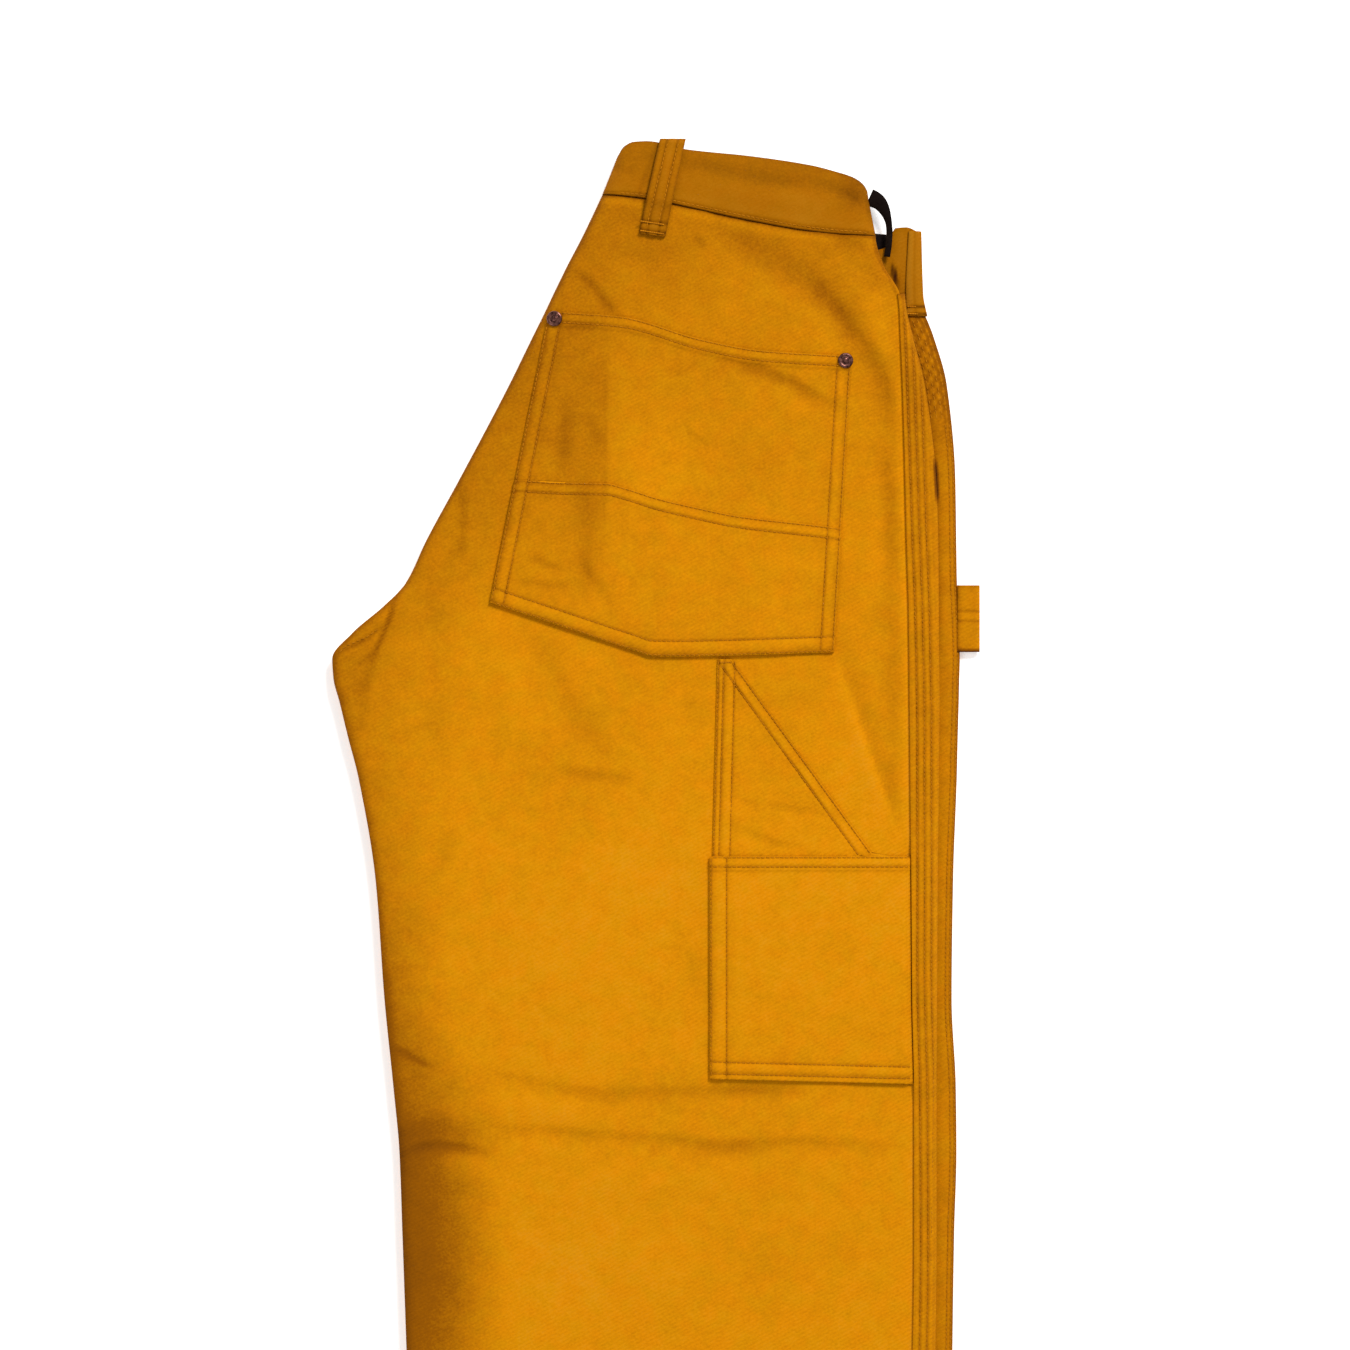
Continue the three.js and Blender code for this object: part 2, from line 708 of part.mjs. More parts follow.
// The dark inner facing has rolled out at the side of the waist, and narrows downwards.
const FACING_LINE = table(
  ["x", "y"],
  [130.8, 1059.6],
  [133.6, 1058],
  [136.4, 1054.4],
  [138.3, 1050],
  [139.5, 1045],
  [139.8, 1039.5],
  [139.2, 1031],
  [138.2, 1025.4],
);
const FACING = { wide: 5, narrow: 1.8, level: 7.6, lean: 1.4 };
function waistFacing() {
  const line = new THREE.CatmullRomCurve3(FACING_LINE.map(({ x, y }) => new THREE.Vector3(x, y, 0)));
  const grid = (offset) =>
    steps(0, 1, 14).map((s) => {
      const p = line.getPoint(s);
      const t = line.getTangent(s);
      const [nx, ny] = [t.y, -t.x];
      const half = lerp(FACING.wide, FACING.narrow, smoothstep(0, 0.55, s));
      return steps(-1, 1, 2).map((w) => [
        p.x - nx * half * w,
        p.y - ny * half * w,
        FACING.level + FACING.lean * w + offset,
      ]);
    });
  return sheet(grid(FACING_WALL), grid(0));
}

// The hammer loop comes out of the left outseam and doubles back under it.
const HAMMER_LOOP = { low: 787.8, high: 828, reach: 194.4, root: 183.2, middle: 2.4 };
function hammerLoop() {
  const { low, high, reach, root, middle } = HAMMER_LOOP;
  const bend = (inset, y) => {
    const radius = middle - inset;
    const arc = steps(Math.PI / 2, -Math.PI / 2, 6).map((angle) => [
      reach - middle + radius * Math.cos(angle),
      y,
      middle + radius * Math.sin(angle),
    ]);
    return [[root, y, middle + radius], ...arc, [root, y, middle - radius]];
  };
  const rows = steps(low, high, 3);
  return sheet(
    rows.map((y) => bend(0, y)),
    rows.map((y) => bend(LOOP_WALL, y)),
  );
}

// Fly: the flap lies between the two fronts beside the centre front fold.
const FLY = { top: 982, bottom: 832, width: 30, inset: 4 };
function flyFlap() {
  const grid = (offset) =>
    steps(0, 1, 10).map((v) => {
      const y = lerp(FLY.top, FLY.bottom, v);
      const start = frontStart(y) + FLY.inset;
      const width = FLY.width * Math.sqrt(1 - 0.9 * smoothstep(0.7, 1, v));
      return steps(0, 1, 3).map((u) => [
        start + width * u,
        y,
        FRONT_LEFT_LEVEL + PATCH_GAP + offset,
      ]);
    });
  return sheet(grid(FLAP_WALL), grid(0));
}

// Profiles of the round fasteners, from the axis outwards and back to it
const lathe = (profile, sides) =>
  new THREE.LatheGeometry(
    profile.map(([r, z]) => new THREE.Vector2(r, z)),
    sides,
  ).rotateX(Math.PI / 2);
const RIVET = { radius: 4.6, height: 1.9 };
const rivetGeometry = () =>
  lathe(
    [
      [0, 0],
      [RIVET.radius, 0],
      [RIVET.radius, 0.7],
      [3.6, 1.3],
      [1.9, 1.3],
      [1.7, RIVET.height],
      [0, RIVET.height],
    ],
    12,
  );
const BUTTON = { radius: 8.5, height: 1.9, x: -20, y: 1004, z: 5.55 };
const buttonGeometry = () =>
  lathe(
    [
      [0, 0],
      [6.5, 0],
      [BUTTON.radius, 0.7],
      [BUTTON.radius, 1.5],
      [6.5, BUTTON.height],
      [0, BUTTON.height],
    ],
    16,
  );

const cloth = new THREE.MeshStandardMaterial({ color: 0xd98a06, roughness: 0.92, metalness: 0 });
const seamCloth = new THREE.MeshStandardMaterial({ color: 0xc98318, roughness: 0.92, metalness: 0 });
const facingCloth = new THREE.MeshStandardMaterial({ color: 0x14100e, roughness: 0.95, metalness: 0 });
const copper = new THREE.MeshStandardMaterial({ color: 0x6a3b30, roughness: 0.35, metalness: 0.9 });
const brass = new THREE.MeshStandardMaterial({ color: 0x8a6a3a, roughness: 0.4, metalness: 0.9 });

const garment = new THREE.Group();
const add = (name, geometry, material) => {
  const mesh = new THREE.Mesh(geometry, material);
  mesh.name = name;
  garment.add(mesh);
  return mesh;
};

const backHeights = sectionHeights(CENTRE_BACK_Y, 17, 17);
const underHeights = sectionHeights(CENTRE_BACK_Y, 40, 34);
const frontHeights = sectionHeights(HIP_TOP_Y, 40, 20);
add("back_right", panel(backHeights, backRightSection, backShift), cloth);
add("front_right", panel(frontHeights, frontRightSection, frontShift), cloth);
add("front_left", panel(frontHeights, frontLeftSection, frontShift), cloth);
add("back_left", panel(underHeights, backLeftSection, underShift), cloth);
add("waistband_back_right", waistbandBackRight(), cloth);
add("waistband_front_right", waistbandFrontRight(), cloth);
add("waistband_front_left", waistbandFrontLeft(), cloth);
add("waistband_back_left", waistbandBackLeft(), cloth);
add("waist_facing", waistFacing(), facingCloth);
add("back_pocket_right", backPocket(), cloth);
add("pocket_reinforcement_right", pocketReinforcement(), cloth);
add("rule_pocket", rulePocket(), cloth);
add("tool_pocket", toolPocket(), cloth);
add("belt_loop_back_right", backLoop(), seamCloth);
add("belt_loop_side_left", sideLoop(), seamCloth);
add("hammer_loop", hammerLoop(), seamCloth);
add("fly_flap", flyFlap(), cloth);
add("waist_button", buttonGeometry(), brass).position.set(BUTTON.x, BUTTON.y, BUTTON.z);

// A rivet in each top corner of the back pocket, square to the cloth there
const RIVETS = table(["name", "x", "y"], ["rivet_left", -61.5, 987.5], ["rivet_right", 113, 962.4]);
for (const { name, x, y } of RIVETS) {
  const slope = (topFace(x + 2, y) - topFace(x - 2, y)) / 4;
  const rivet = add(name, rivetGeometry(), copper);
  const lift = PATCH_GAP + PATCH_WALL + POCKET_HEM_RISE + 0.4;
  rivet.position.set(x, y, topFace(x, y) + lift + RIVET.radius * Math.abs(slope) * 0.3);
  rivet.rotation.y = -Math.atan(slope);
}

// The frame's origin is below the middle of the garment's box.
const box = new THREE.Box3().setFromObject(garment, true);
const centre = box.getCenter(new THREE.Vector3());
garment.position.set(-centre.x, -centre.y, -box.min.z);

export default garment;
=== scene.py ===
# Folded carpenter pants in mustard twill, laid flat and seen from straight above.
# Sizes are in millimetres in the garment's own plan: X runs across the leg from the crotch to the
# outseam, and Y from the hems up to the waist. to_frame turns them into the frame's metres.
import math

import bpy
import numpy as np
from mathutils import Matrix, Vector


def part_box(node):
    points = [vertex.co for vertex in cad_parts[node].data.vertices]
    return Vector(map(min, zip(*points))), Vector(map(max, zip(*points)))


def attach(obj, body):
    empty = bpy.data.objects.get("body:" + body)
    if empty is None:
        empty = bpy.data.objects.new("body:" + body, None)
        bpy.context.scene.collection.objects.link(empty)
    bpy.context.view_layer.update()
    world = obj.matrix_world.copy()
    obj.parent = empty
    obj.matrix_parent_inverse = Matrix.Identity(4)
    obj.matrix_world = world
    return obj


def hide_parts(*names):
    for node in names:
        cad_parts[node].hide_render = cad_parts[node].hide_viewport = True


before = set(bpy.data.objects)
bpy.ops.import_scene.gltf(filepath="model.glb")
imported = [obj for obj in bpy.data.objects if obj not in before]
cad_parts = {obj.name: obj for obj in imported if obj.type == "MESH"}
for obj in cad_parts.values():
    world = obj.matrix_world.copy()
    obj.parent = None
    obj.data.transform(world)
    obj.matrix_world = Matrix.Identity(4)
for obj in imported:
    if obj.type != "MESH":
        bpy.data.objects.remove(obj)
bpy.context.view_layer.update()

# Where the garment's plan lies in the frame
MM = 0.001
LOOP_REACH = 194.4  # the hammer loop's outer end is the garment's right side
ORIGIN = np.array([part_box("hammer_loop")[1][0] / MM - LOOP_REACH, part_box("back_left")[0][1] / MM, 0])

# Cloth and levels, as in the solids
WALL = 1.5
BAND_WALL = 2.6
INNER_BAND_WALL = 2.2
PATCH_WALL = 1.0
TOOL_WALL = 0.9
THIN_WALL = 0.8
FACING_WALL = 1.2
SEAM_GAP = 0.3
PATCH_GAP = 0.4
TOOL_GAP = 1.65  # over the rule pocket
LAP_STEP = 1.0
UNDERLAP = 5
FREE_EDGE_DROP = 4.2
CENTRE_FRONT_INSET = 13
HEM_RISE = 0.8
POCKET_HEM_RISE = 0.6
POCKET_RIDE = 1.2
FRONT_LEFT_LEVEL = 5.6
FRONT_RIGHT_LEVEL = 7.4
TOP_LEVEL = 12.4
WAIST_RISE = 2
LEG_SEAM_LEVEL = 9
CENTRE_SEAM_LEVEL = 5.95
UNDER_SEAM_LEVEL = 2.8
FOLD_LEVEL = 9.6
EDGE_ROLL = 14
HIP_ROLL = 10
FOLD_ROLL = 12
UNDER_ROLL = 9
HIP_TOP_Y = 1003
CENTRE_BACK_Y = 1062.6
WAIST_TILT_Y = 900
HEM_DEPTH = 20
FRONT_DROP = 18  # from the side of the waist to the centre front
WAIST_REACH = 190
BAND_HEIGHT = 38
SIDE_X = 156.5
BACK_BAND_SIDE_X = 131.4
SIDE_END_X = 150  # where the front's waist seam meets the side
BAND_LEFT = (-33, -24)  # at the seam and at the top edge
FRAME_LOW_Y = 365  # the camera sees the garment from here up
CROTCH_JOIN = (796, 832)  # the inseams run into the centre seam
CENTRE_JOIN = (770, 798)  # the fronts' edges draw back to their inset
RIDE_SPAN = (518, 532, 664, 680)  # the lap rises over the tool pocket's edge
# Where painted shade darkens the gap between the fold and the left leg
GAP_SHADE_SPAN = (876, 884, 898, 906)  # the fold stands off the left leg
BRAID_SPAN = (926, 940, 986, 992)  # the left outseam is braided most


def table(columns, *rows):
    """A list of rows with named columns."""
    names = columns.split()
    return [dict(zip(names, row)) for row in rows]


# Outlines of the folded legs: crotch side, lapped edge of the outseam on top, fold of the right
# leg, and outer edge of the left leg, which shows beyond the fold
OUTLINE = table(
    "y crotch lap fold under",
    (0, -133, 143, 158, 169),
    (150, -141, 148, 162.5, 173.5),
    (300, -148, 152, 166, 177),
    (437, -153, 154.2, 168, 179),
    (487, -154.8, 154.2, 168, 180.4),
    (526, -158.4, 154.1, 168, 180),
    (579, -163.8, 153, 168.3, 177.5),
    (651, -169.2, 152.5, 168.7, 178.4),
    (712, -179.4, 151.9, 169.4, 180.6),
    (737, -185.8, 151.7, 169.6, 181.2),
    (758, -190.9, 151.5, 169.8, 181.8),
    (772, -194.5, 151.4, 169.7, 182.1),
    (784, -195.2, 151.3, 169.6, 182.4),
    (799, -183.4, 151.1, 169.5, 182.1),
    (816, -163.8, 150.9, 169.4, 181.4),
    (829, -151.4, 150.5, 169.3, 180.7),
    (855, -138.8, 149.7, 169, 180.3),
    (893, -118.2, 148.8, 167.6, 179.7),
    (947, -89.7, 147.3, 161, 174.6),
    (977, -75, 146, 153.8, 166.4),
    (994, -66.6, 145.3, 149.9, 160),
    (1003, -62.4, 144.2, 149, 157.5),
    (1011, -58.5, 141.2, 148.5, 157),
    (1021, -53.6, 135.9, 148, 157),
    (1037.4, -45, 131.4, 148, 156.5),
    (1062.6, -33, 131.4, 148, 156.5),
)
SEAM_LINE = table(
    "x y", (-33, 1062.6), (-7, 1059.6), (20, 1054.2), (50, 1047.6), (86, 1041), (110, 1038.3), (130, 1037.4)
)
BAND_TOP = table(
    "x y",
    (-24, 1086), (-20, 1092), (-14, 1094.8), (-6, 1095.2), (18, 1090.2), (56, 1086.2),
    (92, 1080.8), (107, 1077), (118, 1073.4), (124, 1069.4), (127.5, 1064),
)
UNDER_SEAM_LINE = table("x y", (-33, 1062.6), (157, 1002.5))
UNDER_BAND_TOP = table("x y", (-33, 1086), (132, 1040), (157, 1038.5))
FRONT_BAND_TOP = table(
    "x y", (-50, 1022), (120, 1028), (137, 1031), (143.5, 1043), (150, 1043.5), (157, 1041)
)


def fold(left, right, depth, shade, *path):
    """A crease or a swell through its points: its half widths on the left and the right of
    someone who walks along it, its height in the middle, and how much painted shade it adds
    (a painted highlight where below zero)."""
    return {"left": left, "right": right, "depth": depth, "shade": shade, "path": path}


FOLDS = [
    # The drag across the hip, from below the waistband to the outseam
    fold(10, 12, -1.1, 0.11, (41, 1043), (56, 1032), (71, 1022), (86, 1013), (101, 1002), (113, 987)),
    fold(5, 8, -1.8, 0.16, (95, 1007), (110, 991), (116, 981), (125, 969), (137, 948), (143, 920)),
    fold(12, 12, 1.0, -0.05, (50, 1014), (80, 1000), (98, 982), (108, 962)),
    fold(8, 8, 0.8, -0.05, (98, 1026), (118, 1009), (130, 988), (138, 968)),
    fold(3, 3, -0.6, 0.09, (104, 1035), (128, 1031)),
    fold(2.5, 2.5, -0.4, 0.07, (20, 1038), (29, 1030)),
    fold(12, 12, -0.4, 0.05, (-6, 1032), (6, 1000)),
    fold(2.2, 3.2, -0.9, 0.13, (-49, 1016), (-40, 1009), (-34, 1002), (-28, 994), (-23, 988)),
    fold(8, 8, 0.6, -0.02, (-36, 1024), (-14, 1012), (10, 1006)),
    fold(7, 7, 0.5, -0.03, (124, 1006), (136, 988), (140, 962)),
    # Inside the back pocket
    fold(3, 5, -1.0, 0.16, (40, 962), (65, 956), (80, 950), (98, 940), (108, 935)),
    fold(7, 7, 0.6, -0.03, (46, 944), (70, 940), (92, 928)),
    fold(26, 1.4, -0.8, 0.085, (-32, 850), (-31, 975)),
    fold(5, 6, -0.5, 0.1, (-57, 900), (-54, 935)),
    fold(6, 5, -0.5, 0.08, (-43, 819), (-42, 893)),
    fold(3, 4, -0.5, 0.08, (-41, 930), (-33, 908)),
    fold(3, 3, -0.3, 0.09, (-58, 983.5), (-34, 982.5)),
    fold(1.6, 2, -0.4, 0.08, (17, 922), (29, 912)),
    fold(2.5, 3, -0.6, 0.08, (-76, 846), (-67, 840), (-56, 836)),
    fold(3, 3, -0.5, 0.09, (-88, 831), (-67, 827), (-48, 828)),
    fold(3, 3.5, -0.6, 0.08, (-46, 843), (-34, 825), (-26, 812)),
    # Between the pocket and the outseam
    fold(4, 7, -0.6, 0.06, (137, 905), (142, 870), (144, 840)),
    fold(6, 6, 0.5, -0.03, (126, 900), (130, 860), (130, 820)),
    fold(12, 9, -0.3, 0.12, (142, 930), (144, 850), (145, 760), (144, 690)),
    fold(8, 1.3, -0.9, 0.1, (108.6, 784.8), (115.4, 769.3), (127.8, 730.8), (142, 692.2), (148.2, 671.6)),
    fold(4, 5, 0.7, -0.05, (104, 784), (111, 765), (123, 728), (137, 690)),
    # At the crotch
    fold(1.5, 1.2, -1.2, 0.26, (-157, 820), (-160, 810), (-163, 802), (-166, 795), (-171, 782)),
    fold(3, 4, -0.8, 0.07, (-169, 789), (-171, 780), (-175, 770), (-179, 760)),
    fold(1.2, 1.6, -0.5, 0.14, (-163, 804), (-175, 795), (-185, 790), (-193, 786)),
    fold(1.6, 2, -0.5, 0.1, (-169, 789), (-175, 782), (-183, 778)),
    fold(3, 8, -0.6, 0.05, (-175, 771), (-178, 735)),
    fold(5, 5, 0.5, -0.02, (-150, 826), (-153, 800), (-160, 772)),
    # Down the thigh
    fold(11, 11, -0.7, 0.05, (-132, 700), (-132, 843)),
    fold(5, 6, -0.4, 0.06, (-124, 681), (-127, 657)),
    fold(2.5, 3, -0.6, 0.1, (-119, 891), (-116, 872), (-117, 850), (-124, 842)),
    fold(5, 6, -0.3, 0.04, (-116, 850), (-112, 828)),
    fold(9, 9, -0.7, 0.08, (-77, 800), (-65, 782), (-49, 750), (-28, 722)),
    fold(7, 8, 0.6, -0.03, (-96, 790), (-84, 760), (-70, 726)),
    fold(3.5, 4, -0.6, 0.1, (-64, 717), (-34, 713), (-10, 710)),
    fold(6, 6, -0.4, 0.05, (20, 741), (18, 765)),
    fold(3, 3, -0.5, 0.06, (62, 697), (84, 692), (104, 690)),
    fold(3, 3, -0.4, 0.05, (48, 700), (62, 692)),
    fold(3, 4, -0.6, 0.07, (46, 683), (71, 672), (88, 669)),
    fold(7, 7, -0.4, 0.04, (14, 621), (26, 573)),
    # Above and below the knee
    fold(4, 4, -0.6, 0.07, (-157, 549), (-161, 575), (-163, 603)),
    fold(2, 3, -0.9, 0.17, (-162, 551), (-151, 547), (-145, 543), (-134, 539)),
    fold(3.5, 6, -0.8, 0.1, (-110, 536), (-94, 533), (-64, 526), (-34, 522), (26, 524), (100, 525)),
    fold(3, 4, -0.6, 0.09, (34, 525), (62, 525), (88, 524)),
    fold(8, 8, 0.7, -0.03, (-118, 516), (-76, 514), (-34, 507)),
    fold(3, 6, -0.9, 0.09, (-118, 503), (-58, 499), (14, 494), (40, 491), (86, 493), (155, 490)),
    fold(5, 6, -0.4, 0.06, (18, 491), (36, 489), (62, 491)),
    fold(2, 4.5, -1.3, 0.2, (-153, 487), (-144, 490.6), (-132, 492), (-118, 491), (-105, 488)),
    fold(7, 5, -0.6, 0.08, (-160, 497), (-130, 500), (-110, 495)),
    fold(7, 8, 0.8, -0.06, (-134, 482), (-116, 478), (-94, 474)),
    fold(9, 9, 0.5, -0.02, (-60, 470), (0, 468), (60, 474)),
    # Further down the leg
    fold(9, 12, -0.8, 0.06, (-120, 330), (-20, 334), (60, 322)),
    fold(9, 12, -0.8, 0.06, (-20, 180), (60, 192), (120, 190)),
    fold(8, 10, -0.6, 0.05, (-110, 90), (-60, 102), (10, 96)),
]
BAND_FOLDS = [
    fold(4, 5, -0.8, 0.09, (8, 1083), (38, 1078), (62, 1072), (86, 1069), (101, 1070)),
    fold(3, 4, -0.7, 0.12, (99, 1069), (116, 1062), (125, 1054)),
    fold(3, 3, -0.5, 0.09, (-28, 1080), (-10, 1074)),
    fold(6, 6, 0.5, -0.04, (30, 1064), (62, 1061), (92, 1058)),
]

# Painted shade: how the light falls off from the thigh to the waist, and towards the crotch side
WAIST_SHADE = table(
    "y shade",
    (0, 0.03), (437, 0.01), (500, 0.03), (560, 0.01), (600, 0), (650, 0.01), (720, 0.045), (840, 0.07),
    (900, 0.1), (963, 0.15), (985, 0.17), (1010, 0.2), (1043, 0.25),
)
CROTCH_SIDE_SHADE = table(
    "y shade reach",
    (300, 0.3, 70), (437, 0.47, 72), (484, 0.47, 72), (520, 0.3, 65), (560, 0.26, 50), (600, 0.22, 50),
    (650, 0.16, 50), (740, 0.14, 60), (820, 0.13, 90), (880, 0.14, 100), (963, 0.12, 90),
    (990, 0.08, 90), (1060, 0.03, 60),
)

# Corners and edges of the patches, in plan
BACK_POCKET = {
    "top_left": (-65, 992.2),
    "top_right": (116.6, 965.2),
    "bottom_right": (106.2, 787.6),
    "bottom_bend": (-3, 785.2),
    "bottom_left": (-100.2, 817.4),
}
POCKET_TOP = table("x y", (-65, 992.2), (-22, 989), (26, 975.5), (62, 968.8), (116.6, 965.2))
POCKET_BOTTOM = table("x y", (-100.2, 817.4), (-60, 804), (-12, 788), (-3, 785.2), (8, 785), (106.2, 787.6))
PATCH_TOP = table(
    "x y",
    (-80.4, 891), (-54, 889.6), (-31, 889.2), (-20, 886.6), (1, 880), (24, 874.6), (47, 869.8),
    (62, 867.8), (99, 863.6), (111.4, 861.8),
)
RULE_POCKET = {"left": 36.2, "top": 783.6, "lean": 3, "slant_x": 129, "slant_y": 667, "bottom": 536}
TOOL_POCKET = {"left": 31.6, "right": 152, "top": 665.2, "bottom_left": 531.6, "bottom_right": 528.6}

# Rows of stitches, by their distance from the edge
SIDE_ROWS = (0.9, 8.2)
BOTTOM_ROWS = (1.0, 9.4)
HEM_ROWS = (0.8, 6.3)
PATCH_ROWS = (0.8, 7.0)
SLANT_ROWS = (0.9, 7.2)
RULE_ROWS = (0.8, 4.0, 10.6)
TOOL_SIDE_ROWS = (0.9, 10.2)
TOOL_HEM_ROWS = (0.6, 6.2)
TOOL_BOTTOM_ROWS = (3.4, 10.4)
STRIP_ROWS = (3.6, 8.0, 12.2)
# Painted highlights on the puffed ridges between the outseam's rows
STRIP_RIDGE_HIGHLIGHTS = (1.7, 5.5, 10.0, 14.8)
UNDER_ROWS = (1.4, 3.9)
BRAID_ROWS = (2.4, 5.6, 8.8, 12)
BAND_ROW = 2.2

TOPSTITCH = {"pitch": 2.8, "length": 2.4, "radius": 0.3}
TACK = {"pitch": 1.3, "length": 1.6, "radius": 0.5}


def curve(rows, key, value):
    """A smooth curve through a table's rows that never overshoots them (monotone cubic)."""
    k = np.array([row[key] for row in rows], float)
    v = np.array([row[value] for row in rows], float)
    slope = np.diff(v) / np.diff(k)
    before, after = slope[:-1], slope[1:]
    same_sign = before * after > 0
    total = np.where(same_sign, before + after, 1)
    inner = np.where(same_sign, 2 * before * after / total, 0)
    tangent = np.concatenate([slope[:1], inner, slope[-1:]])

    def at(q):
        q = np.clip(q, k[0], k[-1])
        i = np.clip(np.searchsorted(k, q, side="right") - 1, 0, len(k) - 2)
        h = k[i + 1] - k[i]
        s = (q - k[i]) / h
        start = (2 * s**3 - 3 * s**2 + 1) * v[i] + (s**3 - 2 * s**2 + s) * h * tangent[i]
        end = (3 * s**2 - 2 * s**3) * v[i + 1] + (s**3 - s**2) * h * tangent[i + 1]
        return start + end

    return at


crotch_edge = curve(OUTLINE, "y", "crotch")
lap_edge = curve(OUTLINE, "y", "lap")
fold_edge = curve(OUTLINE, "y", "fold")
under_edge = curve(OUTLINE, "y", "under")
seam_line = curve(SEAM_LINE, "x", "y")
band_top = curve(BAND_TOP, "x", "y")
under_seam_line = curve(UNDER_SEAM_LINE, "x", "y")
under_band_top = curve(UNDER_BAND_TOP, "x", "y")
front_band_top = curve(FRONT_BAND_TOP, "x", "y")
pocket_top = curve(POCKET_TOP, "x", "y")
pocket_bottom = curve(POCKET_BOTTOM, "x", "y")
patch_top = curve(PATCH_TOP, "x", "y")
waist_shade = curve(WAIST_SHADE, "y", "shade")
crotch_side_shade = curve(CROTCH_SIDE_SHADE, "y", "shade")
left_reach = curve(CROTCH_SIDE_SHADE, "y", "reach")


def front_seam_line(x):
    return HIP_TOP_Y - FRONT_DROP * (SIDE_END_X - x) / WAIST_REACH


def lerp(a, b, s):
    return a + (b - a) * s


def smooth(start, end, v):
    """0 before start, 1 after end, and a smooth step between them."""
    s = np.clip((v - start) / (end - start), 0, 1)
    return s * s * (3 - 2 * s)


def window(start, full, fading, end, v):
    """1 between full and fading, 0 before start and after end, with smooth steps between them."""
    return smooth(start, full, v) * (1 - smooth(fading, end, v))


def bell(v):
    return np.exp(-v * v)


def quarter(share):
    """Height of a quarter circle, from 0 at its edge to 1."""
    return np.sqrt(1 - (1 - np.clip(share, 0, 1)) ** 2)


def soft_noise(x, y, size, seed):
    """Smooth random values about zero, with features of that size."""
    cells = 128
    lattice = np.random.default_rng(seed).normal(0, 0.5, (cells, cells))
    gx = np.asarray(x, float) / size + 4 * cells
    gy = np.asarray(y, float) / size + 4 * cells
    ix, iy = np.floor(gx).astype(int), np.floor(gy).astype(int)
    fx, fy = smooth(0, 1, gx - ix), smooth(0, 1, gy - iy)
    ix, iy = ix % cells, iy % cells
    jx, jy = (ix + 1) % cells, (iy + 1) % cells
    low = lerp(lattice[ix, iy], lattice[jx, iy], fx)
    high = lerp(lattice[ix, jy], lattice[jx, jy], fx)
    return lerp(low, high, fy)


def lengths_along(points):
    """How far each point lies from the first one, along the path."""
    return np.concatenate([[0], np.cumsum(np.linalg.norm(np.diff(points, axis=0), axis=1))])


def along_path(path, x, y):
    """Signed distance from a path and the share of its length, for each point."""
    points = np.array(path, float)
    starts = lengths_along(points)
    best = np.full(np.shape(x), np.inf)
    signed = np.zeros(np.shape(x))
    share = np.zeros(np.shape(x))
    for i, length in enumerate(np.diff(starts)):
        (x0, y0), (x1, y1) = points[i], points[i + 1]
        tx, ty = (x1 - x0) / length, (y1 - y0) / length
        s = np.clip((x - x0) * tx + (y - y0) * ty, 0, length)
        off = np.hypot(x - x0 - s * tx, y - y0 - s * ty)
        side = np.where((x - x0) * ty - (y - y0) * tx > 0, 1, -1)
        near = off < best
        best = np.where(near, off, best)
        signed = np.where(near, off * side, signed)
        share = np.where(near, (starts[i] + s) / starts[-1], share)
    return signed, share


def fold_relief(folds, x, y):
    """Height and shade that the folds add at each point."""
    height = np.zeros(np.shape(x))
    shade = np.zeros(np.shape(x))
    for crease in folds:
        points = np.array(crease["path"], float)
        reach = 3 * max(crease["left"], crease["right"])
        low, high = points.min(axis=0) - reach, points.max(axis=0) + reach
        near = (x > low[0]) & (x < high[0]) & (y > low[1]) & (y < high[1])
        if not near.any():
            continue
        off, share = along_path(crease["path"], x[near], y[near])
        width = np.where(off > 0, crease["right"], crease["left"])
        taper = lerp(0.3, 1, window(0, 0.25, 0.72, 1, share))
        profile = bell(off / width) * taper
        height[near] += crease["depth"] * profile
        shade[near] += crease["shade"] * profile
    return height, shade


def top_level(y):
    return TOP_LEVEL + WAIST_RISE * smooth(WAIST_TILT_Y, 1000, y)


def edge_roll(y):
    return lerp(EDGE_ROLL, HIP_ROLL, smooth(790, 860, y))


def above_crotch(y):
    """0 along the inseams, 1 along the centre seam, and a smooth step between them."""
    return smooth(*CROTCH_JOIN, y)


def join_level(y):
    return lerp(LEG_SEAM_LEVEL, CENTRE_SEAM_LEVEL, above_crotch(y))


def top_face(x, y):
    """Height and shade of the right back's outer face, which every patch is laid on."""
    x, y = np.broadcast_arrays(np.asarray(x, float), np.asarray(y, float))
    base = join_level(y) + SEAM_GAP / 2
    inside = x - crotch_edge(y)
    to_lap = lap_edge(y) - x
    share = np.clip(inside / edge_roll(y), 0, 1)
    rolled = base + (top_level(y) - base) * quarter(share)
    below_band = 1 - smooth(HIP_TOP_Y + 3, HIP_TOP_Y + 14, y)
    dip = (LAP_STEP - 0.1) * smooth(-4, -1, -to_lap) * below_band
    height, shade = fold_relief(FOLDS, x, y)
    slack = 0.55 * soft_noise(x, y, 46, 3) + 0.22 * soft_noise(x + y * 0.4, y, 17, 4)
    pressed = smooth(1, 12, to_lap)
    z = rolled - dip + (height * share + slack * smooth(0, 30, inside)) * pressed
    # Painted shade: the light's fall-off towards the waist and the crotch side, and a dark rim where the
    # crotch edge rolls away; the soft noise is random tone
    crotch_falloff_shade = crotch_side_shade(y) * (1 - smooth(0, 1, inside / left_reach(y)))
    shade = shade * pressed + waist_shade(y) + crotch_falloff_shade + 0.03 * soft_noise(x, y, 60, 5)
    return z, shade + 0.2 * bell(share / 0.26)


# Meshes


def to_frame(points):
    return (points + ORIGIN) * MM


